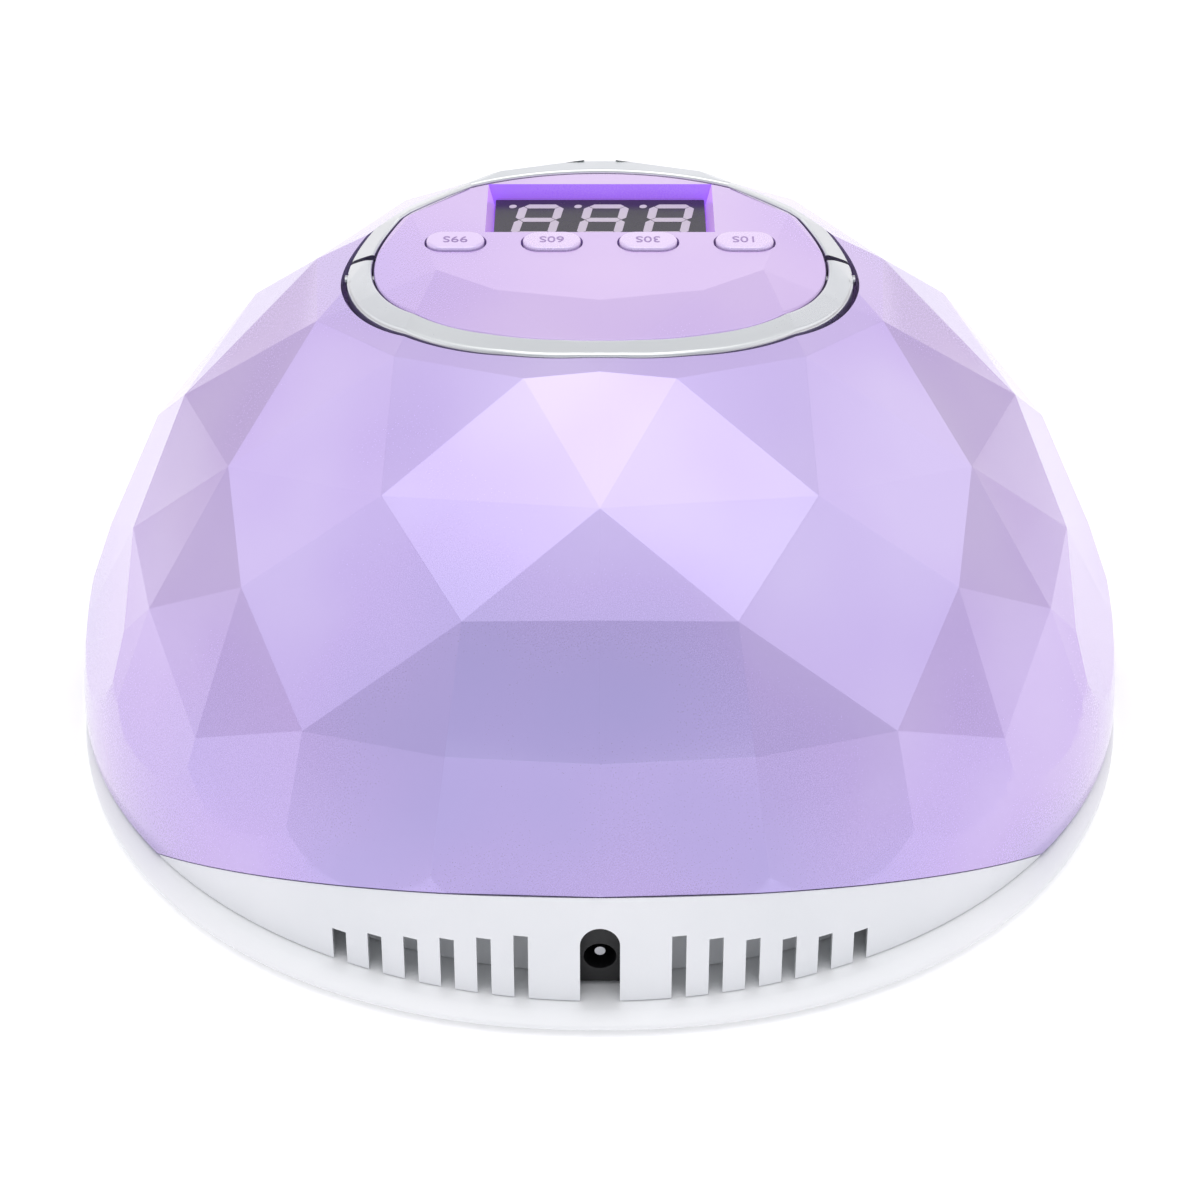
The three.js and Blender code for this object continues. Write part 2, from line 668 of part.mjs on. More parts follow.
const sideFloor = hoop(lipInset, floorInset).intersect(upToFloor).subtract(behindEdge);
const rearFloor = hoop(baffleInset, floorInset).intersect(upToFloor);
const magnetRoof = housingLow + magnetHeight + 2.2;
const magnetCups = magnets.map(([x, y]) => solid(bar(x, y, magnetCup, housingLow, magnetRoof, 14)));
const magnetCuts = magnets.map(([x, y]) => (
  solid(bar(x, y, magnetRadius + roundGap, 0, housingLow + magnetHeight + 0.9, 14))
));
const vents = [];
for (let index = 0; index < ventsPerSide; index += 1) {
  [-1, 1].forEach((side) => {
    const x = side * (ventStart + ventWidth / 2 + index * ventPitch);
    const y = domeHalfDepth * Math.sqrt(1 - (x / domeHalfWidth) ** 2);
    const top = ventTop - index * ventStep;
    vents.push(solid(block([x - ventWidth / 2, y - 5.4, 0], [x + ventWidth / 2, y + 5, top])));
  });
}
const inletOutline = new THREE.Shape();
inletOutline.moveTo(-inletWidth / 2, -1);
inletOutline.lineTo(inletWidth / 2, -1);
inletOutline.absarc(0, inletTop - inletWidth / 2, inletWidth / 2, 0, Math.PI);
const inletCut = new THREE.ExtrudeGeometry(inletOutline, {
  depth: 12, bevelEnabled: false, curveSegments: 10,
});
inletCut.rotateX(Math.PI / 2);
inletCut.translate(0, domeHalfDepth + 4, 0);
const jackRear = domeHalfDepth - skirtInset - skirtWall - 2.6;
const jackLow = housingLow + 0.55;
const jackRoom = block(
  [-jackWidth / 2 - 0.5, jackRear - jackLength - 2, jackLow - 0.5],
  [jackWidth / 2 + 0.5, domeHalfDepth - skirtInset - skirtWall - 1.4, jackLow + jackHeight + 0.6],
);
const screwSeat = housingLow + screwHeadHeight + 0.2;
const housingCuts = housingScrews.flatMap(([x, y]) => [
  solid(bar(x, y, screwHeadRadius + 0.4, 0, screwSeat, 12)),
  solid(bar(x, y, screwRadius + roundGap, 0, housingTop + 5, 8)),
]);
const housingBody = without(
  joined([skirt, skirtRoof, baffle, rearLip, sideLip, sideFloor, rearFloor, ...magnetCups]),
  [
    archway(fitGap, 0),
    chamberBody(-fitGap, linerLow - 1),
    solid(inletCut),
    solid(jackRoom),
    ...vents,
    ...magnetCuts,
    ...housingCuts,
    ...housingScrews.map(([x, y]) => solid(bar(x, y, postRadius + 0.4, housingTop, postTop, 10))),
  ],
);
add('base_housing', geometryOf(housingBody), white());
housingScrews.forEach(([x, y], index) => {
  const seat = screwSeat - 0.3;
  const head = solid(bar(x, y, screwHeadRadius, housingLow + 0.1, seat, 12));
  const shank = solid(bar(x, y, screwRadius, seat - 0.5, housingTop + 9, 8));
  add(`housing_screw_${index + 1}`, geometryOf(head.add(shank)), steel());
});
magnets.forEach(([x, y], index) => {
  const low = housingLow + 0.3;
  add(`magnet_${index + 1}`, bar(x, y, magnetRadius, low, low + magnetHeight, 20), steel());
});

// ---- power inlet and power board ----
const powerLow = housingTop + fitGap;
const powerTop = powerLow + 1.6;
add('power_board', block(
  [-28, 66, powerLow], [28, jackRear - jackLength - fitGap, powerTop],
), greenBoard());
const jackBody = solid(block(
  [-jackWidth / 2, jackRear - jackLength, jackLow], [jackWidth / 2, jackRear, jackLow + jackHeight],
));
const jackBoreRadius = 2.9;
const jackBoreDepth = 9;
const jackPinRadius = 1;
const jackBore = new THREE.CylinderGeometry(jackBoreRadius, jackBoreRadius, jackBoreDepth + 0.5, 20);
jackBore.translate(0, jackRear - jackBoreDepth / 2 + 0.25, jackBoreHeight);
const pinSleeve = jackPinRadius + roundGap;
const pinRoom = new THREE.CylinderGeometry(pinSleeve, pinSleeve, 40, 12);
pinRoom.translate(0, jackRear, jackBoreHeight);
add('dc_jack', geometryOf(without(jackBody, [solid(jackBore), solid(pinRoom)])), blackPlastic());
const jackPinLength = jackLength - 2;
const jackPin = new THREE.CylinderGeometry(jackPinRadius, jackPinRadius, jackPinLength, 12);
jackPin.translate(0, jackRear - 1.5 - jackPinLength / 2, jackBoreHeight);
add('jack_pin', jackPin, steel());
add('power_capacitor', bar(-15, 75, 5, powerTop + fitGap, powerTop + 12, 20), finish(0x20242c, 0.4));
add('power_inductor', bar(14, 76, 6, powerTop + fitGap, powerTop + 7, 20), finish(0x3a3431, 0.6));

// ---- ribbon cable from the control board down to the power board ----
const ribbonThickness = 0.8;
const ribbonTop = panelHeight - boardDrop - boardThickness - fitGap - ribbonThickness / 2;
// Places along the ribbon: y, and the height as a share of the ribbon's top.
const ribbonDrop = [
  [22, 1], [29, 0.993], [38, 0.945], [46.5, 0.8765], [54, 0.8], [61, 0.6725], [67.5, 0.487], [71.5, 0.3014],
];
const ribbonRoute = new THREE.CatmullRomCurve3([
  ...ribbonDrop.map(([y, share]) => new THREE.Vector3(0, y, ribbonTop * share)),
  new THREE.Vector3(0, 72, powerTop + 0.6),
]);
const ribbonSection = new THREE.Shape([
  new THREE.Vector2(-5, -ribbonThickness / 2), new THREE.Vector2(5, -ribbonThickness / 2),
  new THREE.Vector2(5, ribbonThickness / 2), new THREE.Vector2(-5, ribbonThickness / 2),
]);
add('ribbon_cable', new THREE.ExtrudeGeometry(ribbonSection, {
  steps: 24, extrudePath: ribbonRoute, bevelEnabled: false,
}), finish(0xb9b9be, 0.6));

// ---- lift-off tray with keeper discs and feet ----
const rimHeights = [[2.2, 0], [0.5, 0.5], [0, 1.2], [0.4, 1.8], [3.6, trayThickness]];
const trayProfile = [
  new THREE.Vector2(0, footProud),
  ...rimHeights.map(([inset, rise]) => new THREE.Vector2(1 - inset / trayHalfWidth, footProud + rise)),
  new THREE.Vector2(0, trayTop),
];
const trayBlank = new THREE.LatheGeometry(trayProfile, 72);
trayBlank.rotateX(Math.PI / 2);
const rimPoints = trayBlank.attributes.position;
for (let index = 0; index < rimPoints.count; index += 1) {
  const x = rimPoints.getX(index);
  const y = rimPoints.getY(index);
  const reach = Math.hypot(x, y);
  if (reach > 0) {
    const across = Math.abs(x / reach / trayHalfWidth) ** trayRoundness;
    const along = Math.abs(y / reach / trayHalfDepth) ** trayRoundness;
    const edge = (across + along) ** (-1 / trayRoundness);
    rimPoints.setXY(index, x * edge, y * edge);
  }
}
const feet = [40, 140].flatMap((bearing) => [ringPlace(bearing, 26), ringPlace(-bearing, 26)]);
const footRadius = 8;
const footSunk = 0.6;             // the feet are let into the tray
const trayBody = without(solid(trayBlank), [
  ...magnets.map(([x, y]) => (
    solid(bar(x, y, magnetRadius + roundGap, trayTop - keeperHeight - roundGap, 20, 14))
  )),
  ...feet.map(([x, y]) => (
    solid(bar(x, y, footRadius + roundGap, 0, footProud + footSunk + roundGap, 16))
  )),
]);
const tray = new THREE.Group();
lamp.add(tray);
add('base_tray', geometryOf(trayBody), white(), tray);
magnets.forEach(([x, y], index) => {
  const disc = bar(x, y, magnetRadius, trayTop - keeperHeight, trayTop, 14);
  add(`keeper_disc_${index + 1}`, disc, steel(), tray);
});
feet.forEach(([x, y], index) => {
  const foot = bar(x, y, footRadius, 0, footProud + footSunk, 16);
  add(`rubber_foot_${index + 1}`, foot, finish(0x2a2a2d, 0.8), tray);
});

lamp.updateMatrixWorld(true);

export default lamp;
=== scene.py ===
import math

import bmesh
import bpy
from mathutils import Matrix, Vector


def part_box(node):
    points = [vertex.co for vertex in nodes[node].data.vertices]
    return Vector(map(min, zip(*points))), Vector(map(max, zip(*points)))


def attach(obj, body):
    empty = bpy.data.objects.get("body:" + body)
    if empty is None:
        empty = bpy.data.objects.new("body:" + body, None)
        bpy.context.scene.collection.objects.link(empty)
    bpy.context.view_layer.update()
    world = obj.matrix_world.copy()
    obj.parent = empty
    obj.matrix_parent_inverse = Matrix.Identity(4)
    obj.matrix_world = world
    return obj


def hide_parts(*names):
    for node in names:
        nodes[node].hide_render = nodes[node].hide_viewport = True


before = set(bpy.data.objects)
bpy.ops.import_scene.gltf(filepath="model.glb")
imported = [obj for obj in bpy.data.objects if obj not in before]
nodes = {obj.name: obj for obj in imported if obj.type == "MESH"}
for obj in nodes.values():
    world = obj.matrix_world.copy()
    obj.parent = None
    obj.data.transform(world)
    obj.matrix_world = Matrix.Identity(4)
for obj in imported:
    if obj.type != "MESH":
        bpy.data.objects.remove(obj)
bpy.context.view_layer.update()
mm = 0.001

# the smooth dome that the facets are cut from, and the table-top frame of the whole lamp
dome = {
    "halfWidth": 108 * mm, "halfDepth": 105.9 * mm, "height": 108.3 * mm,
    "sides": 256, "rows": 128,
    "leastDepth": 0.6 * mm, "leastArea": 4e-6, "cornerMerge": 0.12 * mm,
    "edgeSoftness": 0.7 * mm, "fitGap": 0.35 * mm, "reach": 150 * mm,
}
camera = {"place": (0, 0.4724, 0.3463), "tilt": 55.27, "turn": 180, "lens": 82.455}


# mesh helpers

def thingFrom(name, bm):
    mesh = bpy.data.meshes.new(name)
    bm.to_mesh(mesh)
    bm.free()
    thing = bpy.data.objects.new(name, mesh)
    bpy.context.scene.collection.objects.link(thing)
    return thing


def everything(bm):
    return bm.verts[:] + bm.edges[:] + bm.faces[:]


def trim(bm, point, normal):
    # drops what lies on the normal's side and closes the cut
    cut = bmesh.ops.bisect_plane(bm, geom=everything(bm), dist=1e-7, plane_co=point,
                                 plane_no=normal, clear_outer=True)
    rim = [part for part in cut["geom_cut"] if isinstance(part, bmesh.types.BMEdge)]
    if rim:
        bmesh.ops.holes_fill(bm, edges=rim)


def bend(fold):
    return abs(fold.calc_face_angle_signed(0))


def soften(bm, offset, segments=2, over=40, under=180, clamp=True):
    edges = [e for e in bm.edges if len(e.link_faces) == 2 and over < math.degrees(bend(e)) < under]
    bmesh.ops.bevel(bm, geom=edges, offset=offset, offset_type="OFFSET", segments=segments,
                    profile=0.5, affect="EDGES", clamp_overlap=clamp, material=-1)


def clean(bm, angle=0.15):
    bmesh.ops.remove_doubles(bm, verts=bm.verts[:], dist=2e-6)
    bmesh.ops.dissolve_limit(bm, angle_limit=math.radians(angle), verts=bm.verts[:], edges=bm.edges[:])


def castOf(node):
    bm = bmesh.new()
    bm.from_mesh(nodes[node].data)
    clean(bm)
    return bm


def carve(base, cutters, operation="DIFFERENCE"):
    for cutter in cutters:
        cut = base.modifiers.new("cut", "BOOLEAN")
        cut.operation = operation
        cut.solver = "MANIFOLD"
        cut.object = cutter
    depsgraph = bpy.context.evaluated_depsgraph_get()
    carved = bpy.data.meshes.new_from_object(base.evaluated_get(depsgraph))
    base.modifiers.clear()
    base.data = carved
    for cutter in cutters:
        bpy.data.objects.remove(cutter)
    if not carved.polygons:
        raise RuntimeError(f"nothing is left of {base.name}")
    return base


def boxBlock(low, high):
    bm = bmesh.new()
    bmesh.ops.create_cube(bm, size=1)
    middle = (Vector(low) + Vector(high)) / 2
    size = Vector(high) - Vector(low)
    bmesh.ops.scale(bm, vec=size, verts=bm.verts)
    bmesh.ops.translate(bm, vec=middle, verts=bm.verts)
    return thingFrom("block", bm)


def ovalColumn(halfWidth, halfDepth, low=0.0, high=0.15, sides=192):
    bm = bmesh.new()
    bmesh.ops.create_cone(bm, cap_ends=True, segments=sides, radius1=1, radius2=1, depth=high - low)
    bmesh.ops.scale(bm, vec=(halfWidth, halfDepth, 1), verts=bm.verts)
    bmesh.ops.translate(bm, vec=(0, 0, (low + high) / 2), verts=bm.verts)
    return thingFrom("column", bm)


def roundBar(x, y, radius, low, high, sides=32):
    bm = bmesh.new()
    bmesh.ops.create_cone(bm, cap_ends=True, segments=sides, radius1=radius, radius2=radius,
                          depth=high - low)
    bmesh.ops.translate(bm, vec=(x, y, (low + high) / 2), verts=bm.verts)
    return thingFrom("bar", bm)


def crossBar(fromX, toX, y, z, radius, sides=48):
    bm = bmesh.new()
    bmesh.ops.create_cone(bm, cap_ends=True, segments=sides, radius1=radius, radius2=radius,
                          depth=toX - fromX)
    bmesh.ops.rotate(bm, cent=(0, 0, 0), matrix=Matrix.Rotation(math.pi / 2, 3, "Y"), verts=bm.verts)
    bmesh.ops.translate(bm, vec=((fromX + toX) / 2, y, z), verts=bm.verts)
    return thingFrom("crossBar", bm)


def pillMesh(width, depth, low, high, crown=0.0):
    # flat pill from a block whose upright edges are rounded
    bm = bmesh.new()
    bmesh.ops.create_cube(bm, size=1)
    bmesh.ops.scale(bm, vec=(width, depth, high - low), verts=bm.verts)
    bmesh.ops.translate(bm, vec=(0, 0, (low + high) / 2), verts=bm.verts)
    upright = [e for e in bm.edges if abs(e.verts[0].co.z - e.verts[1].co.z) > 1e-6]
    bmesh.ops.bevel(bm, geom=upright, offset=depth / 2 - 0.2 * mm, offset_type="OFFSET", segments=12,
                    profile=0.5, affect="EDGES", clamp_overlap=False, material=-1)
    if crown:
        rim = [e for e in bm.edges if min(v.co.z for v in e.verts) > high - 1e-6]
        bmesh.ops.bevel(bm, geom=rim, offset=crown, offset_type="OFFSET", segments=4,
                        profile=0.5, affect="EDGES", clamp_overlap=False, material=-1)
    return bm


def append(source, target):
    mesh = bpy.data.meshes.new("added")
    source.to_mesh(mesh)
    source.free()
    target.from_mesh(mesh)
    bpy.data.meshes.remove(mesh)


# the dome and its facets, read back from the frame

def depthUnder(face):
    # how far a face's plane lies under the smooth dome
    normal = face.normal
    reach = Vector((dome["halfWidth"] * normal.x, dome["halfDepth"] * normal.y, dome["height"] * normal.z))
    return reach.length - normal.dot(face.calc_center_median())


ringProud = 0.5 * mm


def facetPlanes():
    hull = bmesh.new()
    grown = 1 + ringProud / dome["halfWidth"]
    for name, share in {"outer_shell": 1, "control_panel": 1,
                        "carry_handle": grown, "front_trim_arc": grown}.items():
        for vert in nodes[name].data.vertices:
            hull.verts.new(vert.co / share)
    bmesh.ops.remove_doubles(hull, verts=hull.verts[:], dist=5e-6)
    bmesh.ops.convex_hull(hull, input=hull.verts[:])
    bmesh.ops.dissolve_limit(hull, angle_limit=math.radians(0.25), verts=hull.verts[:],
                             edges=hull.edges[:])
    hull.normal_update()
    planes = [
        (face.calc_center_median(), face.normal.copy()) for face in hull.faces
        if face.normal.z > 0.02 and depthUnder(face) > dome["leastDepth"]
        and face.calc_area() > dome["leastArea"]
    ]
    hull.free()
    return planes


def facetSolid(planes):
    bm = bmesh.new()
    bmesh.ops.create_cube(bm, size=4 * dome["reach"], matrix=Matrix.Translation((0, 0, dome["reach"])))
    for point, normal in planes:
        trim(bm, point, normal)
    bmesh.ops.remove_doubles(bm, verts=bm.verts[:], dist=dome["cornerMerge"])
    bmesh.ops.dissolve_limit(bm, angle_limit=math.radians(0.4), verts=bm.verts[:], edges=bm.edges[:])
    bmesh.ops.recalc_face_normals(bm, faces=bm.faces[:])
    return bm


planes = facetPlanes()
print("facet planes", len(planes))
crisp = facetSolid(planes)
soft = crisp.copy()
soften(soft, dome["edgeSoftness"], 3, 1.2, 60)
print("facet solid", len(crisp.faces), "soft", len(soft.faces))


def facetBody(inset, source=crisp):
    bm = source.copy()
    share = 1 - inset / dome["halfWidth"]
    bmesh.ops.scale(bm, vec=(share, share, share), verts=bm.verts)
    return thingFrom("facets", bm)


def smoothDome(inset, low=None, high=None):
    bm = bmesh.new()
    bmesh.ops.create_uvsphere(bm, u_segments=dome["sides"], v_segments=dome["rows"], radius=1)
    size = [dome[side] - inset for side in ("halfWidth", "halfDepth", "height")]
    bmesh.ops.scale(bm, vec=size, verts=bm.verts)
    trim(bm, (0, 0, low if low is not None else -0.02), (0, 0, -1))
    if high is not None:
        trim(bm, (0, 0, high), (0, 0, 1))
    return thingFrom("dome", bm)


edge = {"foot": 4.4 * mm, "start": 64.8 * mm, "angle": 29.8}


def underEdge(rise):
    # everything under the shell's rising rear edge, lifted by rise
    bm = bmesh.new()
    far = dome["reach"]
    bmesh.ops.create_cube(bm, size=1)
    bmesh.ops.scale(bm, vec=(3 * far, 2 * far, 2 * far), verts=bm.verts)
    bmesh.ops.translate(bm, vec=(0, far, -far), verts=bm.verts)
    turn = Matrix.Rotation(math.radians(edge["angle"]), 3, "X")
    bmesh.ops.rotate(bm, cent=(0, 0, 0), matrix=turn, verts=bm.verts)
    bmesh.ops.translate(bm, vec=(0, edge["start"], edge["foot"] + rise), verts=bm.verts)
    return thingFrom("wedge", bm)


arch = {"halfWidth": 76 * mm, "height": 56 * mm, "shoulder": 20 * mm}


def archway(margin, toY):
    half = arch["halfWidth"] + margin
    rise = arch["height"] + margin - arch["shoulder"]
    far = dome["reach"]
    bm = bmesh.new()
    bmesh.ops.create_cone(bm, cap_ends=True, segments=160, radius1=1, radius2=1, depth=far + toY)
    bmesh.ops.rotate(bm, cent=(0, 0, 0), matrix=Matrix.Rotation(math.pi / 2, 3, "X"), verts=bm.verts)
    bmesh.ops.scale(bm, vec=(half, 1, rise), verts=bm.verts)
    bmesh.ops.translate(bm, vec=(0, (toY - far) / 2, arch["shoulder"]), verts=bm.verts)
    jambs = boxBlock((-half, -far, -1 * mm), (half, toY, arch["shoulder"]))
    return carve(thingFrom("arch", bm), [jambs], "UNION")


# finishes

class Value:
    # a socket that sums can be written with
    def __init__(self, finish, socket):
        self.finish = finish
        self.socket = socket

    def math(self, operation, *values):
        return self.finish.node("ShaderNodeMath", {"operation": operation},
                                {index: value for index, value in enumerate(values)})

    def __add__(self, other):
        return self.math("ADD", self, other)

    __radd__ = __add__

    def __mul__(self, other):
        return self.math("MULTIPLY", self, other)

    __rmul__ = __mul__


class Graph:
    def __init__(self, tree):
        self.tree = tree

    def node(self, kind, settings=None, sockets=None, output=0):
        made = self.tree.nodes.new(kind)
        for setting, value in (settings or {}).items():
            if setting == "stops":
                ramp = made.color_ramp.elements
                while len(ramp) < len(value):
                    ramp.new(1)
                for stop, (place, colour) in zip(ramp, value):
                    stop.position = place
                    stop.color = colour
            else:
                setattr(made, setting, value)
        for socket, value in (sockets or {}).items():
            if isinstance(value, Value):
                self.tree.links.new(value.socket, made.inputs[socket])
            else:
                made.inputs[socket].default_value = value
        return Value(self, made.outputs[output])

    def spread(self, value, low, high, fromLow=0.3, fromHigh=0.7):
        return self.node("ShaderNodeMapRange", None, {
            "Value": value, "From Min": fromLow, "From Max": fromHigh, "To Min": low, "To Max": high})

    def tint(self, value, stops):
        return self.node("ShaderNodeValToRGB", {"stops": stops}, {"Fac": value})


class Finish(Graph):
    def __init__(self, name, sockets):
        self.material = bpy.data.materials.new(name)
        self.material.use_nodes = True
        super().__init__(self.material.node_tree)
        self.shader = self.tree.nodes["Principled BSDF"]
        for socket, value in sockets.items():
            self.shader.inputs[socket].default_value = value

    def feed(self, socket, value):
        self.tree.links.new(value.socket, self.shader.inputs[socket])

    def place(self):
        return self.node("ShaderNodeTexCoord", output="Object")

    def noise(self, scale, detail=2.0, roughness=0.5):
        return self.node("ShaderNodeTexNoise", None, {
            "Vector": self.place(), "Scale": scale, "Detail": detail, "Roughness": roughness})

    def bump(self, height, distance, strength=1.0):
        self.feed("Normal", self.node("ShaderNodeBump", None,
                                      {"Height": height, "Distance": distance, "Strength": strength}))


def colour(red, green, blue):
    # display values 0-255 to the linear colour that nodes take
    return tuple(((part / 255 + 0.055) / 1.055) ** 2.4 if part > 10 else part / 255 / 12.92
                 for part in (red, green, blue)) + (1.0,)


def pearlFinish(name, pale, middle, deep, roughness=0.26, metallic=0.42, coat=1.0, glow=0.0):
    pearl = Finish(name, {
        "Emission Color": colour(*deep), "Emission Strength": glow,
        "Metallic": metallic, "Coat Weight": coat, "Coat Roughness": 0.05, "Coat IOR": 1.42,
        "Specular IOR Level": 0.6, "Sheen Weight": 0.05, "Sheen Roughness": 0.35,
        "Thin Film Thickness": 330.0, "Thin Film IOR": 1.42,
    })
    clouds = pearl.noise(13, 2.5, 0.55)
    pearl.feed("Base Color", pearl.tint(
        clouds, [(0.30, colour(*pale)), (0.5, colour(*middle)), (0.72, colour(*deep))]))
    flakes = pearl.noise(3200, 2, 0.6)
    pearl.feed("Roughness", pearl.spread(flakes * 0.3 + clouds * 0.7, roughness - 0.04, roughness + 0.05))
    ripple = pearl.noise(45, 2, 0.5)
    pearl.bump(ripple * 0.7 + flakes * 0.001, 0.00016, 0.4)
    return pearl.material


def plasticFinish(name, base, shade, roughness, grain=1800, depth=0.00002, coat=0.0):
    plastic = Finish(name, {"Coat Weight": coat, "Coat Roughness": 0.15})
    cloud = plastic.noise(25, 3, 0.6)
    plastic.feed("Base Color", plastic.tint(cloud, [(0.3, colour(*base)), (0.75, colour(*shade))]))
    fine = plastic.noise(grain, 3, 0.6)
    plastic.feed("Roughness", plastic.spread(fine * 0.6 + cloud * 0.4, roughness - 0.05, roughness + 0.07))
    plastic.bump(fine, depth)
    return plastic.material


def metalFinish(name, base, shade, roughness, brushed=0.0):
    metal = Finish(name, {"Metallic": 1.0, "Anisotropic": brushed})
    cloud = metal.noise(40, 3, 0.6)
    metal.feed("Base Color", metal.tint(cloud, [(0.3, colour(*base)), (0.75, colour(*shade))]))
    grain = metal.noise(2400, 4, 0.65)
    metal.feed("Roughness", metal.spread(grain * 0.5 + cloud * 0.5, roughness - 0.05, roughness + 0.08))
    metal.bump(grain, 0.000004)
    return metal.material


shellPearl = pearlFinish("shellPearl", (209, 194, 235), (198, 178, 231), (187, 175, 227))
panelPearl = pearlFinish("panelPearl", (222, 200, 240), (212, 188, 238), (202, 184, 240))
# display pocket finishes: their emission is painted glow, painted light on pocket walls that are no lamp
# and would otherwise sit in shade
recessVioletPaintedGlow = pearlFinish("recessVioletPaintedGlow", (176, 120, 244), (168, 108, 242), (160, 104, 240),
                           0.3, 0.1, 0.5, 0.32)
# paler copy with a stronger painted glow, painted light for the pocket's side walls
recessSidePaintedLight = pearlFinish("recessSidePaintedLight", (222, 180, 252), (214, 170, 250), (208, 162, 248),
                         0.3, 0.1, 0.5, 0.5)
capPearl = pearlFinish("capPearl", (236, 218, 250), (229, 210, 248), (224, 206, 246), 0.28, 0.2)
ringSatin = metalFinish("ringSatin", (230, 233, 232), (220, 224, 223), 0.3, 0.3)
steelPin = metalFinish("steelPin", (196, 197, 200), (170, 172, 176), 0.32)
casingWhite = plasticFinish("casingWhite", (238, 240, 241), (231, 234, 235), 0.32, coat=0.2)
trayWhite = plasticFinish("trayWhite", (245, 246, 246), (240, 242, 242), 0.38, 1400)
linerWhite = plasticFinish("linerWhite", (240, 240, 242), (230, 231, 235), 0.22, 1500, coat=0.4)
blackMould = plasticFinish("blackMould", (8, 8, 9), (14, 14, 16), 0.5, 1600)
smokeGlass = plasticFinish("smokeGlass", (34, 31, 38), (42, 38, 48), 0.24, 900, 0.000003)
segmentPale = plasticFinish("segmentPale", (206, 196, 208), (196, 184, 198), 0.35)
labelInk = plasticFinish("labelInk", (164, 136, 188), (154, 126, 180), 0.4)
boardGreen = plasticFinish("boardGreen", (24, 92, 58), (18, 70, 44), 0.38, 1200)
boardWhite = plasticFinish("boardWhite", (238, 238, 230), (226, 226, 216), 0.4, 1200)
lensClear = plasticFinish("lensClear", (238, 232, 196), (228, 214, 150), 0.1, 900, 0.000004, 1.0)
phosphor = plasticFinish("phosphor", (250, 214, 92), (236, 190, 60), 0.5)
sensorDark = plasticFinish("sensorDark", (44, 28, 52), (34, 20, 42), 0.12, 900, 0.000004, 1.0)
rubber = plasticFinish("rubber", (42, 42, 45), (54, 54, 57), 0.75, 900, 0.00005)
sleeveDark = plasticFinish("sleeveDark", (32, 36, 46), (44, 50, 62), 0.3)
coreDark = plasticFinish("coreDark", (60, 52, 48), (74, 64, 58), 0.6, 900)
ribbonGrey = plasticFinish("ribbonGrey", (188, 188, 194), (170, 170, 178), 0.5, 900)
print("finishes made")


def shown(thing, name, body, materials, replaced=(), smooth=32, weighted=True):
    # names a finished mesh, gives it its finish and puts it on its body
    thing.name = name
    thing.data.name = name
    bm = bmesh.new()
    bm.from_mesh(thing.data)
    clean(bm, 0.1)
    for face in bm.faces:
        face.smooth = True
    for e in bm.edges:
        e.smooth = len(e.link_faces) == 2 and math.degrees(bend(e)) < smooth
    thing.data.materials.clear()
    for material in materials:
        thing.data.materials.append(material)
    bm.to_mesh(thing.data)
    bm.free()
    if weighted:
        even = thing.modifiers.new("even", "WEIGHTED_NORMAL")
        even.mode = "FACE_AREA"
        even.keep_sharp = True
        depsgraph = bpy.context.evaluated_depsgraph_get()
        evened = bpy.data.meshes.new_from_object(thing.evaluated_get(depsgraph))
        thing.modifiers.clear()
        thing.data = evened
        thing.data.name = name
    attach(thing, body)
    if replaced:
        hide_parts(*replaced)
    return thing


# outer shell
shell = {"wall": 2.3 * mm, "openingHalfWidth": 50.1 * mm, "openingHalfDepth": 38.75 * mm}
skin = carve(smoothDome(0, edge["foot"]), [facetBody(0, soft)], "INTERSECT")
inside = carve(smoothDome(shell["wall"], 1 * mm), [facetBody(shell["wall"])], "INTERSECT")
shellThing = carve(skin, [
    inside, ovalColumn(shell["openingHalfWidth"], shell["openingHalfDepth"]),
    underEdge(0), archway(dome["fitGap"], 0),
])
shown(shellThing, "facetedShell", "lamp", [shellPearl], ["outer_shell"], 20)
print("shell made", len(shellThing.data.polygons))

# control panel
ring = {"halfWidth": 48.9 * mm, "halfDepth": 38.4 * mm, "width": 4.9 * mm, "depth": 3.9 * mm,
        "sideGap": 1.2 * mm, "edge": 0.8 * mm, "knuckle": 3.9 * mm, "knuckleGap": 1.2 * mm,
        "pin": 1 * mm, "pinGap": 0.3 * mm, "draft": 0.8 * mm, "clearUnder": 1.6 * mm}
panel = {"top": 100.8 * mm, "wall": 2.1 * mm, "trough": 7 * mm, "flange": 2 * mm, "flangeReach": 12 * mm,
         "rim": 2 * mm, "edge": 0.5 * mm}
display = {"width": 37.8 * mm, "depth": 17.6 * mm, "row": -17.7 * mm, "sideBorder": 2.3 * mm,
           "endBorder": 0.5 * mm, "drop": 2.7 * mm, "thickness": 1 * mm, "draft": 1.2 * mm}
button = {"width": 11.2 * mm, "depth": 7 * mm, "pitch": 18.6 * mm, "row": -2.9 * mm, "proud": 0.8 * mm,
          "gap": 0.4 * mm, "crown": 0.6 * mm, "stem": 1.6 * mm, "collar": 1 * mm,
          "collarThickness": 1.2 * mm, "neck": 0.5 * mm, "underLabel": 0.06 * mm,
          "letter": 3.4 * mm, "ink": 0.08 * mm}
buttonNames = ["10s", "30s", "60s", "99s"]
gap = dome["fitGap"]
islandHalf = (ring["halfWidth"] - ring["width"] - gap, ring["halfDepth"] - ring["width"] - gap)
pocket = (display["width"] + 2 * display["sideBorder"], display["depth"] + 2 * display["endBorder"])
hingeLow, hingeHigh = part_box("handle_pin_left")
hingeZ = (hingeLow.z + hingeHigh.z) / 2


def slab(y, width, depth, low, high):
    # block measured from the panel's top
    return boxBlock((-width / 2, y - depth / 2, panel["top"] + low),
                    (width / 2, y + depth / 2, panel["top"] + high))


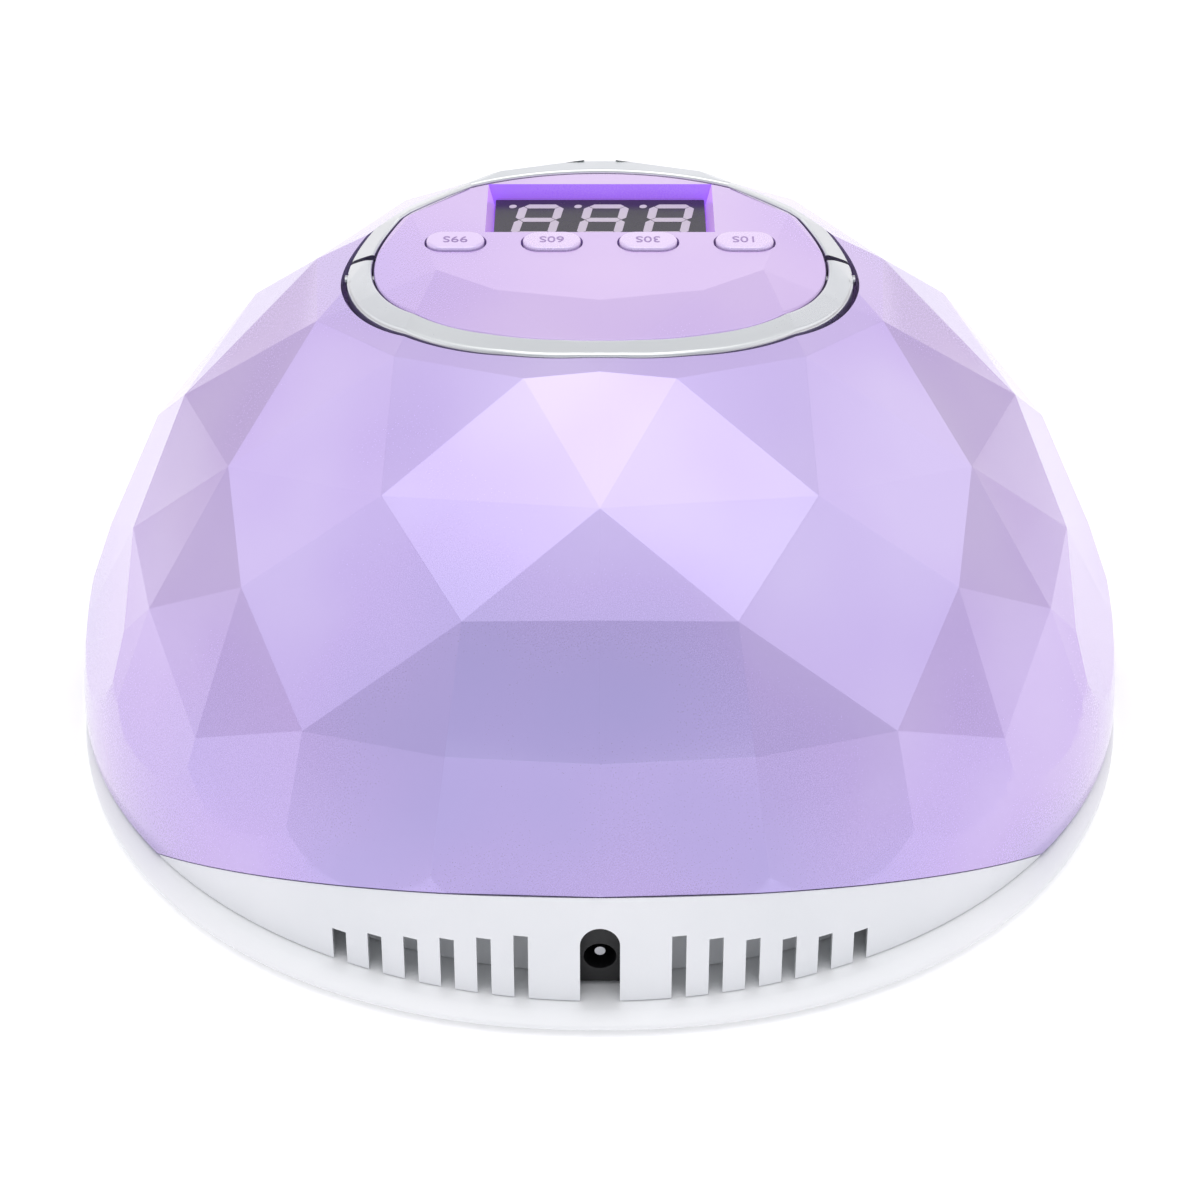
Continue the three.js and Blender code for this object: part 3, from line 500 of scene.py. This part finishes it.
island = carve(ovalColumn(*islandHalf), [facetBody(0, soft)], "INTERSECT")
islandBm = bmesh.new()
islandBm.from_mesh(island.data)
clean(islandBm, 0.05)
soften(islandBm, panel["edge"], 3, 50, 130, False)
islandBm.to_mesh(island.data)
islandBm.free()
flange = carve(
    ovalColumn(ring["halfWidth"] + panel["flangeReach"], ring["halfDepth"] + panel["flangeReach"]),
    [facetBody(panel["trough"])], "INTERSECT")
troughHalf = (ring["halfWidth"] + ring["sideGap"] + 0.3 * mm, ring["halfDepth"] + gap + 0.5 * mm)
rim = carve(ovalColumn(troughHalf[0] + panel["rim"], troughHalf[1] + panel["rim"]),
            [facetBody(shell["wall"] + gap)], "INTERSECT")
rim = carve(rim, [ovalColumn(*troughHalf, -0.01, 0.2)])
hollow = carve(ovalColumn(islandHalf[0] - panel["wall"], islandHalf[1] - panel["wall"], 0.01),
               [facetBody(panel["wall"])], "INTERSECT")
hollow = carve(hollow, [slab(display["row"], pocket[0] + 2 * mm, pocket[1] + 2 * mm,
                             -display["drop"] - display["thickness"] - 2 * mm, 0)])
pocketBm = bmesh.new()
bmesh.ops.create_cube(pocketBm, size=1)
pocketDeep = display["drop"] + display["thickness"] + gap
bmesh.ops.scale(pocketBm, vec=(*pocket, pocketDeep + 0.2 * mm), verts=pocketBm.verts)
lipVerts = [v for v in pocketBm.verts if v.co.z > 0]
flare = [1 + 2 * display["draft"] / side for side in pocket]
bmesh.ops.scale(pocketBm, vec=(*flare, 1), verts=lipVerts)
bmesh.ops.translate(pocketBm, vec=(0, display["row"], panel["top"] - pocketDeep / 2 + 0.1 * mm),
                    verts=pocketBm.verts)
pocketCut = thingFrom("pocket", pocketBm)
holes = []
for index in range(4):
    hole = pillMesh(button["width"] + 2 * button["gap"], button["depth"] + 2 * button["gap"],
                    -6 * mm, 2 * mm)
    place = ((index - 1.5) * button["pitch"], button["row"], panel["top"])
    bmesh.ops.translate(hole, vec=place, verts=hole.verts)
    holes.append(thingFrom("hole", hole))
panelThing = carve(island, [flange, rim], "UNION")
panelThing = carve(panelThing, [
    facetBody(panel["trough"] + panel["flange"]), hollow,
    pocketCut,
    slab(display["row"], display["width"] + 2 * gap, display["depth"] + 2 * gap, -20 * mm, 1 * mm),
    crossBar(-0.15, 0.15, 0, hingeZ, ring["pin"] + ring["pinGap"]), *holes,
])
# pocket faces get painted light: side walls the paler, brighter glowing copy, the other pocket faces the
# violet glowing finish
for face in panelThing.data.polygons:
    middle = face.center
    inPocket = (abs(middle.x) < pocket[0] / 2 + display["draft"]
                and abs(middle.y - display["row"]) < pocket[1] / 2 + display["draft"]
                and panel["top"] - 6 * mm < middle.z < panel["top"] - 1e-5)
    if inPocket:
        face.material_index = 2 if abs(face.normal.x) > 0.7 else 1
    else:
        face.material_index = 0
shown(panelThing, "controlPanel", "lamp", [panelPearl, recessVioletPaintedGlow, recessSidePaintedLight], ["control_panel"],
      20)
print("panel made", len(panelThing.data.polygons))

# ring: folding bail behind, fixed arc in front
band = carve(ovalColumn(ring["halfWidth"], ring["halfDepth"]), [facetBody(-ringProud)], "INTERSECT")
band = carve(band, [
    ovalColumn(ring["halfWidth"] - ring["width"], ring["halfDepth"] - ring["width"], -0.01, 0.2),
    facetBody(ring["depth"] - ringProud)])
bandBm = bmesh.new()
bandBm.from_mesh(band.data)
clean(bandBm, 0.05)
soften(bandBm, ring["edge"], 4, 50, 130, False)
bandBm.to_mesh(band.data)
bandBm.free()
arc = band.copy()
arc.data = band.data.copy()
bpy.context.scene.collection.objects.link(arc)
far = dome["reach"]
rearHalf = boxBlock((-far, 0, 0), (far, far, far))
knuckles = crossBar(-far, far, 0, hingeZ, ring["knuckle"])
bail = carve(band, [carve(rearHalf, [knuckles], "UNION")], "INTERSECT")
# what the folding half has to clear on the panel
under = carve(ovalColumn(islandHalf[0] + ring["draft"], islandHalf[1] + ring["draft"]),
              [facetBody(ring["clearUnder"])], "INTERSECT")
under = carve(under, [boxBlock((-far, 0, 0), (far, far, far))], "INTERSECT")
under = carve(under, [crossBar(-far, far, 0, hingeZ, ring["knuckle"] + ring["knuckleGap"])])
bail = carve(bail, [crossBar(-far, far, 0, hingeZ, ring["pin"] + ring["pinGap"]), under])
arc = carve(arc, [boxBlock((-far, 0, 0), (far, far, far)),
                  crossBar(-far, far, 0, hingeZ, ring["knuckle"] + ring["knuckleGap"])])
shown(bail, "carryBail", "handle", [ringSatin], ["carry_handle"], 22)
shown(arc, "frontArc", "lamp", [ringSatin], ["front_trim_arc"], 22)
print("ring made", len(bail.data.polygons), len(arc.data.polygons))


# buttons and their labels
def lettering(text, size, x, y, z, thickness):
    curve = bpy.data.curves.new("label", "FONT")
    curve.body = text
    curve.size = size
    curve.align_x = "CENTER"
    curve.align_y = "CENTER"
    curve.extrude = thickness / 2
    curve.resolution_u = 4
    written = bpy.data.objects.new("label", curve)
    bpy.context.scene.collection.objects.link(written)
    depsgraph = bpy.context.evaluated_depsgraph_get()
    mesh = bpy.data.meshes.new_from_object(written.evaluated_get(depsgraph))
    bpy.data.objects.remove(written)
    label = bpy.data.objects.new("label", mesh)
    bpy.context.scene.collection.objects.link(label)
    mesh.transform(Matrix.Translation((x, y, z)))
    return label


def keyPill(x, extra, low, high, crown=0.0):
    # pill of a key, wider by extra on each side, measured from the panel's top
    pill = pillMesh(button["width"] + 2 * extra, button["depth"] + 2 * extra, low, high, crown)
    bmesh.ops.translate(pill, vec=(x, button["row"], panel["top"]), verts=pill.verts)
    return thingFrom("pill", pill)


inkHeight = panel["top"] + button["proud"] - 0.05 * mm
collarTop = -panel["wall"] - gap
for index, label in enumerate(buttonNames):
    x = (index - 1.5) * button["pitch"]
    cap = keyPill(x, 0, -panel["wall"], button["proud"] - button["underLabel"], button["crown"])
    collar = keyPill(x, button["collar"], collarTop - button["collarThickness"], collarTop)
    neck = keyPill(x, -button["neck"], -panel["wall"] - 1 * mm, -panel["wall"] + 1 * mm)
    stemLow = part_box("button_" + label)[0].z
    stem = roundBar(x, button["row"], button["stem"], stemLow, panel["top"] - 1 * mm)
    cap = carve(cap, [collar, neck, stem], "UNION")
    shown(cap, "button" + label.upper(), "key_" + label, [capPearl], ["button_" + label],
          30)
    ink = lettering(label.upper(), button["letter"], x, button["row"], inkHeight, button["ink"])
    shown(ink, "label" + label.upper(), "key_" + label, [labelInk], smooth=30, weighted=False)
print("buttons made")

# display
digit = {"pitch": 13 * mm, "height": 13.4 * mm, "width": 8.9 * mm, "bar": 1.7 * mm,
         "space": 0.25 * mm, "slant": 8, "relief": 0.06 * mm, "point": 0.75 * mm,
         "pointOut": 2.2 * mm, "shift": -0.6 * mm}
lensTop = panel["top"] - display["drop"]
lens = bmesh.new()
bmesh.ops.create_cube(lens, size=1)
lensSize = (pocket[0] - 0.6 * mm, pocket[1] - 0.6 * mm, display["thickness"])
bmesh.ops.scale(lens, vec=lensSize, verts=lens.verts)
bmesh.ops.translate(lens, vec=(0, display["row"], lensTop - display["thickness"] / 2),
                    verts=lens.verts)
soften(lens, 0.2 * mm, 2)
shown(thingFrom("lens", lens), "displayWindow", "lamp", [smokeGlass], ["display_lens"])


def segment(length, thickness, matrix, target):
    bm = bmesh.new()
    bmesh.ops.create_cube(bm, size=1)
    bmesh.ops.scale(bm, vec=(length, thickness, digit["relief"]), verts=bm.verts)
    upright = [e for e in bm.edges if abs(e.verts[0].co.z - e.verts[1].co.z) > 1e-7]
    bmesh.ops.bevel(bm, geom=upright, offset=thickness * 0.49, offset_type="OFFSET", segments=1,
                    profile=0.5, affect="EDGES", clamp_overlap=False, material=-1)
    bmesh.ops.transform(bm, matrix=matrix, verts=bm.verts)
    append(bm, target)


digits = bmesh.new()
slant = Matrix.Identity(4)
slant[0][1] = math.tan(math.radians(digit["slant"]))
halfRun = (digit["width"] - digit["bar"]) / 2
halfRise = (digit["height"] - digit["bar"]) / 2
for column in (-1, 0, 1):
    home = Matrix.Translation((column * digit["pitch"] + digit["shift"], display["row"],
                               lensTop + digit["relief"] / 2)) @ slant
    for row in (-1, 0, 1):
        across = home @ Matrix.Translation((0, row * halfRise, 0))
        segment(2 * halfRun - digit["space"], digit["bar"], across, digits)
    for side in (-1, 1):
        for half in (-1, 1):
            middle = Matrix.Translation((side * halfRun, half * halfRise / 2, 0))
            upright = home @ middle @ Matrix.Rotation(math.pi / 2, 4, "Z")
            segment(halfRise - digit["space"], digit["bar"], upright, digits)
    point = home @ Matrix.Translation((halfRun + digit["pointOut"], -halfRise, 0))
    bmesh.ops.create_cone(digits, cap_ends=True, segments=24, radius1=digit["point"],
                          radius2=digit["point"], depth=digit["relief"], matrix=point)
shown(thingFrom("digits", digits), "displayDigits", "lamp", [segmentPale], weighted=False)
print("display made")

# base housing
housing = {"low": 3.95 * mm, "floor": 2.6 * mm, "skirtInset": 0.3 * mm, "skirtWall": 1.9 * mm,
           "baffleInset": 8 * mm, "baffleWall": 1.6 * mm, "lipWall": 1.8 * mm, "lipRise": 6 * mm,
           "floorInset": 24 * mm, "top": 40 * mm}
screw = {"head": 2.8 * mm, "shank": 1.5 * mm, "post": 3.8 * mm, "seat": 1.7 * mm}
magnet = {"radius": 4.3 * mm, "depth": 3.9 * mm, "cup": 5.6 * mm, "cupHeight": 5.2 * mm}
vent = {"width": 2.6 * mm, "pitch": 6.7 * mm, "start": 12.9 * mm, "top": 17.4 * mm,
        "step": 1.35 * mm, "count": 6, "inside": 5.4 * mm, "outside": 5 * mm}
inlet = {"width": 7.2 * mm, "top": 19.6 * mm}
skirtLow = housing["low"] - 0.1 * mm
floorTop = housing["low"] + housing["floor"]
lipInset = shell["wall"] + gap


def hoop(outer, inner):
    return carve(smoothDome(outer, skirtLow, housing["top"]),
                 [smoothDome(inner, skirtLow - 1 * mm, housing["top"] + 1 * mm)])


def nodeCentre(name):
    low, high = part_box(name)
    return (low + high) / 2


skirt = carve(hoop(housing["skirtInset"], housing["skirtInset"] + housing["skirtWall"]),
              [underEdge(-gap)], "INTERSECT")
roof = carve(hoop(housing["skirtInset"] + 0.5 * mm, housing["baffleInset"] + 1 * mm),
             [underEdge(-gap)], "INTERSECT")
roof = carve(roof, [underEdge(-gap - 2 * mm)])
baffle = carve(hoop(housing["baffleInset"], housing["baffleInset"] + housing["baffleWall"]),
               [underEdge(-gap - 0.5 * mm)], "INTERSECT")
lip = carve(hoop(lipInset, lipInset + housing["lipWall"]), [facetBody(lipInset)], "INTERSECT")
sideLip = lip.copy()
sideLip.data = lip.data.copy()
bpy.context.scene.collection.objects.link(sideLip)
rearLip = carve(lip, [underEdge(housing["lipRise"])], "INTERSECT")
rearLip = carve(rearLip, [underEdge(-gap - 1.5 * mm)])
behind = (-far, edge["start"] + 3 * mm, 0)
sideLip = carve(sideLip, [boxBlock((-far, -far, 0), (far, far, floorTop + 3 * mm))],
                "INTERSECT")
sideLip = carve(sideLip, [boxBlock(behind, (far, far, far))])
sideFloor = carve(hoop(lipInset, housing["floorInset"]),
                  [boxBlock((-far, -far, 0), (far, far, floorTop))], "INTERSECT")
sideFloor = carve(sideFloor, [boxBlock(behind, (far, far, far))])
rearFloor = carve(hoop(housing["baffleInset"], housing["floorInset"]),
                  [boxBlock((-far, -far, 0), (far, far, floorTop))], "INTERSECT")
magnets = [nodeCentre(f"magnet_{index}") for index in range(1, 5)]
screws = [nodeCentre(f"housing_screw_{index}") for index in range(1, 7)]
cups = [roundBar(m.x, m.y, magnet["cup"], housing["low"], housing["low"] + magnet["cupHeight"])
        for m in magnets]
vents = []
for index in range(vent["count"]):
    for side in (-1, 1):
        x = side * (vent["start"] + vent["width"] / 2 + index * vent["pitch"])
        y = dome["halfDepth"] * math.sqrt(1 - (x / dome["halfWidth"]) ** 2)
        vents.append(boxBlock(
            (x - vent["width"] / 2, y - vent["inside"], 0),
            (x + vent["width"] / 2, y + vent["outside"], vent["top"] - index * vent["step"])))
inletArch = bmesh.new()
inletHalf = inlet["width"] / 2
bmesh.ops.create_cone(inletArch, cap_ends=True, segments=64, radius1=inletHalf, radius2=inletHalf,
                      depth=12 * mm)
bmesh.ops.rotate(inletArch, cent=(0, 0, 0), matrix=Matrix.Rotation(math.pi / 2, 3, "X"),
                 verts=inletArch.verts)
bmesh.ops.translate(inletArch, vec=(0, dome["halfDepth"] - 2 * mm, inlet["top"] - inletHalf),
                    verts=inletArch.verts)
inletCut = carve(thingFrom("inlet", inletArch), [
    boxBlock((-inletHalf, dome["halfDepth"] - 8 * mm, -1 * mm),
             (inletHalf, dome["halfDepth"] + 4 * mm, inlet["top"] - inletHalf))], "UNION")
jackLow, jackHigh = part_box("dc_jack")
jackRoom = boxBlock((jackLow.x - 0.5 * mm, jackLow.y - 2 * mm, jackLow.z - 0.5 * mm),
                    (jackHigh.x + 0.5 * mm, jackHigh.y + 1.2 * mm, jackHigh.z + 0.6 * mm))
housingThing = carve(skirt, [roof, baffle, rearLip, sideLip, sideFloor, rearFloor, *cups], "UNION")
seat = housing["low"] + screw["seat"]


chamber = {"low": 4.1 * mm, "top": 72 * mm, "rearLow": 60 * mm, "rearTop": 46 * mm,
           "frontLow": 62 * mm, "frontTop": 54 * mm, "halfLow": 72 * mm, "halfTop": 50 * mm}


def chamberBlock(inset, low):
    # tapered reflector chamber, with its slopes carried on below the liner's foot
    top = chamber["top"] - inset
    further = 1 + (chamber["low"] - low) / (top - chamber["low"])

    def slope(side):
        high = chamber[side + "Top"] - inset
        return high + (chamber[side + "Low"] - inset - high) * further, high

    rear = slope("rear")
    front = [-reach for reach in slope("front")]
    halves = slope("half")
    bm = bmesh.new()
    for side in (-1, 1):
        for y in (rear[0], front[0]):
            bm.verts.new((side * halves[0], y, low))
        for y in (rear[1], front[1]):
            bm.verts.new((side * halves[1], y, top))
    bmesh.ops.convex_hull(bm, input=bm.verts[:])
    return thingFrom("chamber", bm)


housingThing = carve(housingThing, [
    archway(gap, 0), chamberBlock(-gap, 3.1 * mm), inletCut, jackRoom, *vents,
    *[roundBar(m.x, m.y, magnet["radius"], 0, housing["low"] + magnet["depth"]) for m in magnets],
    *[roundBar(s.x, s.y, screw["head"], 0, seat) for s in screws],
    *[roundBar(s.x, s.y, screw["shank"], 0, floorTop + 5 * mm) for s in screws],
    *[roundBar(s.x, s.y, screw["post"], floorTop, 60 * mm) for s in screws],
])
shown(housingThing, "baseHousing", "lamp", [casingWhite], ["base_housing"], 20)
print("housing made", len(housingThing.data.polygons))

# tray
tray = {"halfWidth": 107.4 * mm, "halfDepth": 111 * mm, "roundness": 2.15, "low": 0.8 * mm,
        "rise": [(2.2, 0), (1.2, 0.12), (0.5, 0.5), (0.12, 0.85), (0, 1.2), (0.1, 1.5), (0.4, 1.8),
                 (1.2, 2.16), (2.2, 2.5), (3.0, 2.7), (3.6, 2.78), (4.6, 2.8)],
        "keeper": 4.3 * mm, "keeperDepth": 1.2 * mm, "foot": 8.3 * mm, "footDepth": 0.9 * mm}
plate = bmesh.new()
profile = [plate.verts.new((0, 0, tray["low"]))]
profile += [plate.verts.new((1 - inset * mm / tray["halfWidth"], 0, tray["low"] + rise * mm))
            for inset, rise in tray["rise"]]
profile += [plate.verts.new((0, 0, tray["low"] + tray["rise"][-1][1] * mm))]
outline = [plate.edges.new(pair) for pair in zip(profile, profile[1:])]
bmesh.ops.spin(plate, geom=profile + outline, cent=(0, 0, 0), axis=(0, 0, 1), dvec=(0, 0, 0),
               angle=2 * math.pi, steps=288, use_merge=True, use_duplicate=False)
bmesh.ops.remove_doubles(plate, verts=plate.verts[:], dist=1e-6)
for vert in plate.verts:
    reach = math.hypot(vert.co.x, vert.co.y)
    if reach > 1e-6:
        across = abs(vert.co.x / reach / tray["halfWidth"]) ** tray["roundness"]
        along = abs(vert.co.y / reach / tray["halfDepth"]) ** tray["roundness"]
        outward = (across + along) ** (-1 / tray["roundness"])
        vert.co.x *= outward
        vert.co.y *= outward
bmesh.ops.recalc_face_normals(plate, faces=plate.faces[:])
plateThing = thingFrom("plate", plate)
keepers = [nodeCentre(f"keeper_disc_{index}") for index in range(1, 5)]
feet = [nodeCentre(f"rubber_foot_{index}") for index in range(1, 5)]
trayTop = tray["low"] + tray["rise"][-1][1] * mm
plateThing = carve(plateThing, [
    *[roundBar(k.x, k.y, tray["keeper"], trayTop - tray["keeperDepth"], 20 * mm) for k in keepers],
    *[roundBar(f.x, f.y, tray["foot"], 0, tray["low"] + tray["footDepth"], 48) for f in feet],
])
shown(plateThing, "baseTray", "tray", [trayWhite], ["base_tray"], 30)
print("tray made", len(plateThing.data.polygons))


# round fittings
def disc(node, body, material, edgeRadius):
    low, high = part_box(node)
    bm = bmesh.new()
    radius = (high.x - low.x) / 2
    bmesh.ops.create_cone(bm, cap_ends=True, segments=64, radius1=radius, radius2=radius,
                          depth=high.z - low.z)
    bmesh.ops.translate(bm, vec=(low + high) / 2, verts=bm.verts)
    soften(bm, edgeRadius, 3)
    shown(thingFrom(node, bm), node.replace("_", ""), body, [material], [node])


for index in range(1, 5):
    disc(f"magnet_{index}", "lamp", steelPin, 0.3 * mm)
    disc(f"keeper_disc_{index}", "tray", steelPin, 0.15 * mm)
    disc(f"rubber_foot_{index}", "tray", rubber, 0.5 * mm)


# jack
jack = castOf("dc_jack")
soften(jack, 0.3 * mm, 2, 60)
shown(thingFrom("jack", jack), "powerJack", "lamp", [blackMould], ["dc_jack"])
print("jack made")

# liner and lights
liner = castOf("inner_liner")
shown(thingFrom("liner", liner), "reflectorLiner", "lamp", [linerWhite], ["inner_liner"], 25)


def lightTips(node):
    bm = castOf(node)
    bm.normal_update()
    tips = [(v.co.copy(), v.normal.copy()) for v in bm.verts
            if len(v.link_edges) == 8 and len({round(e.calc_length(), 6) for e in v.link_edges}) == 1]
    bm.free()
    return tips


bulb = {"radius": 2.5 * mm, "sides": 32, "stand": 2.4 * mm, "die": 1.6 * mm, "dieSunk": 0.35 * mm,
        "dieHeight": 0.4 * mm, "sensorHeight": 1 * mm}


def bead(tip, outward, radius, height):
    # round-nosed bead with its tip at a place of the frame
    turn = outward.to_track_quat("Z", "Y").to_matrix().to_4x4()
    bm = bmesh.new()
    bmesh.ops.create_uvsphere(bm, u_segments=bulb["sides"], v_segments=bulb["sides"] // 2,
                              radius=radius)
    cut = bmesh.ops.bisect_plane(bm, geom=everything(bm), dist=1e-8, plane_co=(0, 0, 0),
                                 plane_no=(0, 0, -1), clear_outer=True)
    brim = [part for part in cut["geom_cut"] if isinstance(part, bmesh.types.BMEdge)]
    drawn = bmesh.ops.extrude_edge_only(bm, edges=brim)
    low = [part for part in drawn["geom"] if isinstance(part, bmesh.types.BMVert)]
    bmesh.ops.translate(bm, vec=(0, 0, -height), verts=low)
    bmesh.ops.holes_fill(bm, edges=[e for e in bm.edges if e.is_boundary])
    bmesh.ops.recalc_face_normals(bm, faces=bm.faces[:])
    bmesh.ops.transform(bm, matrix=Matrix.Translation(tip - outward * radius) @ turn, verts=bm.verts)
    return bm


def wallBoard(wall):
    # board plate with round lenses, and a yellow die behind each lens
    node = f"led_board_{wall}"
    tips = lightTips(node)
    plate = castOf(node)
    tall = bulb["radius"] + bulb["stand"]
    outward = tips[0][1]
    backs = sorted((v.co - tips[0][0]).dot(outward) for v in plate.verts)
    front = max(reach for reach in backs if reach < -tall * 0.8)
    bmesh.ops.bisect_plane(plate, geom=everything(plate), dist=1e-7, plane_no=outward,
                           clear_outer=True, plane_co=tips[0][0] + outward * (front + 0.01 * mm))
    bmesh.ops.holes_fill(plate, edges=[e for e in plate.edges if e.is_boundary])
    clean(plate, 1)
    shown(thingFrom("board", plate), f"lightBoard{wall.title()}", "lamp", [boardWhite], [node])
    lenses = bmesh.new()
    dies = bmesh.new()
    for tip, along in tips:
        append(bead(tip, along, bulb["radius"], -front - bulb["radius"] + 0.005 * mm), lenses)
        append(bead(tip - along * bulb["dieSunk"], along, bulb["die"], bulb["dieHeight"]), dies)
    shown(thingFrom("lenses", lenses), f"lightLenses{wall.title()}", "lamp", [lensClear])
    shown(thingFrom("dies", dies), f"lightDies{wall.title()}", "lamp", [phosphor])


for wall in ("top", "left", "right", "rear"):
    wallBoard(wall)
for sensor, title in (("ir_emitter", "sensorSender"), ("ir_receiver", "sensorReceiver")):
    cap = castOf(sensor)
    tip, along = lightTips(sensor)[0]
    bmesh.ops.bisect_plane(cap, geom=everything(cap), dist=1e-7, plane_no=along, clear_outer=True,
                           plane_co=tip - along * (bulb["radius"] + bulb["sensorHeight"]))
    bmesh.ops.holes_fill(cap, edges=[e for e in cap.edges if e.is_boundary])
    append(bead(tip, along, bulb["radius"], bulb["sensorHeight"]), cap)
    shown(thingFrom("sensor", cap), title, "lamp", [sensorDark], [sensor])
print("lights made")

# carried-over nodes
finishes = {
    "shell_lilac": shellPearl, "panel_lilac": panelPearl, "button_lilac": capPearl,
    "chrome_ring": ringSatin, "steel": steelPin, "display_smoke": smokeGlass,
    "black_plastic": blackMould, "circuit_board": boardGreen, "liner_white": linerWhite,
    "housing_white": casingWhite, "tray_white": trayWhite, "led_board": boardWhite,
    "sensor_dark": sensorDark, "capacitor_sleeve": sleeveDark, "inductor_core": coreDark,
    "ribbon_grey": ribbonGrey, "foot_rubber": rubber,
}
for node in nodes.values():
    slotName = node.data.materials[0].name
    node.data.materials.clear()
    node.data.materials.append(finishes[slotName])
print("frame finished")

# stage, light and camera
floor = bmesh.new()
bmesh.ops.create_circle(floor, cap_ends=True, segments=96, radius=3)
floorThing = thingFrom("floor", floor)
paper = Finish("paper", {"Roughness": 0.9, "Specular IOR Level": 0.1, "Emission Color": (1, 1, 1, 1),
                         "Emission Strength": 0.2})
grain = paper.noise(220, 3, 0.6)
paper.feed("Base Color", paper.tint(grain, [(0.3, colour(250, 250, 250)), (0.7, colour(246, 246, 247))]))
floorThing.data.materials.append(paper.material)


def softBox(name, place, aim, width, height, power):
    data = bpy.data.lights.new(name, "AREA")
    data.shape = "RECTANGLE"
    data.size = width
    data.size_y = height
    data.energy = power
    panelLight = bpy.data.objects.new(name, data)
    panelLight.location = place
    panelLight.rotation_euler = (Vector(aim) - Vector(place)).to_track_quat("-Z", "Y").to_euler()
    bpy.context.scene.collection.objects.link(panelLight)


softBox("overhead", (0, 0.12, 1.1), (0, 0, 0.05), 1.1, 0.9, 2.9)
softBox("leftWing", (-1.0, -0.05, 0.6), (0, 0, 0.05), 1.5, 0.45, 1.3)
softBox("rightWing", (1.0, -0.05, 0.6), (0, 0, 0.05), 1.5, 0.45, 1.3)
softBox("back", (0, -1.0, 0.42), (0, 0, 0.06), 1.8, 0.7, 2.0)
softBox("rear", (0, 1.1, 0.35), (0, 0, 0.05), 1.2, 0.4, 1.1)

world = bpy.data.worlds.new("studio")
bpy.context.scene.world = world
world.use_nodes = True
sky = Graph(world.node_tree)
toward = sky.node("ShaderNodeTexCoord", output="Generated")
height = sky.node("ShaderNodeSeparateXYZ", None, {"Vector": toward}, "Z")
behind = sky.node("ShaderNodeSeparateXYZ", None, {"Vector": toward}, "Y")
ceiling = sky.tint(height, [
    (0.0, (0.66, 0.60, 0.64, 1)), (0.22, (0.54, 0.52, 0.57, 1)), (0.5, (0.50, 0.49, 0.55, 1)),
    (0.74, (0.80, 0.80, 0.84, 1)), (0.93, (0.88, 0.87, 0.89, 1)), (1.0, (1.15, 1.14, 1.16, 1)),
])
card = sky.spread(behind, 0.0, 1.0, 0.70, 0.86) * sky.spread(height, 0.0, 1.0, 0.1, 0.36)
# a dim card, seen only in what faces the rear
dimmed = sky.node("ShaderNodeMix", {"data_type": "RGBA"},
                  {0: card, 6: ceiling, 7: (0.15, 0.18, 0.25, 1)}, 2)
reflected = sky.node("ShaderNodeBackground", None, {"Color": dimmed, "Strength": 1.0})
plain = sky.node("ShaderNodeBackground", None, {"Color": (1, 1, 1, 1)})
straight = sky.node("ShaderNodeLightPath", output="Is Camera Ray")
mixed = sky.node("ShaderNodeMixShader", None, {0: straight, 1: reflected, 2: plain})
sky.tree.links.new(mixed.socket, sky.tree.nodes["World Output"].inputs["Surface"])

bpy.context.scene.view_settings.view_transform = "Standard"
cameraData = bpy.data.cameras.new("camera")
cameraData.lens = camera["lens"]
cameraData.sensor_width = 36
cameraThing = bpy.data.objects.new("camera", cameraData)
cameraThing.location = camera["place"]
cameraThing.rotation_euler = (math.radians(camera["tilt"]), 0, math.radians(camera["turn"]))
bpy.context.scene.collection.objects.link(cameraThing)
bpy.context.scene.camera = cameraThing

crisp.free()
soft.free()
bpy.context.view_layer.update()
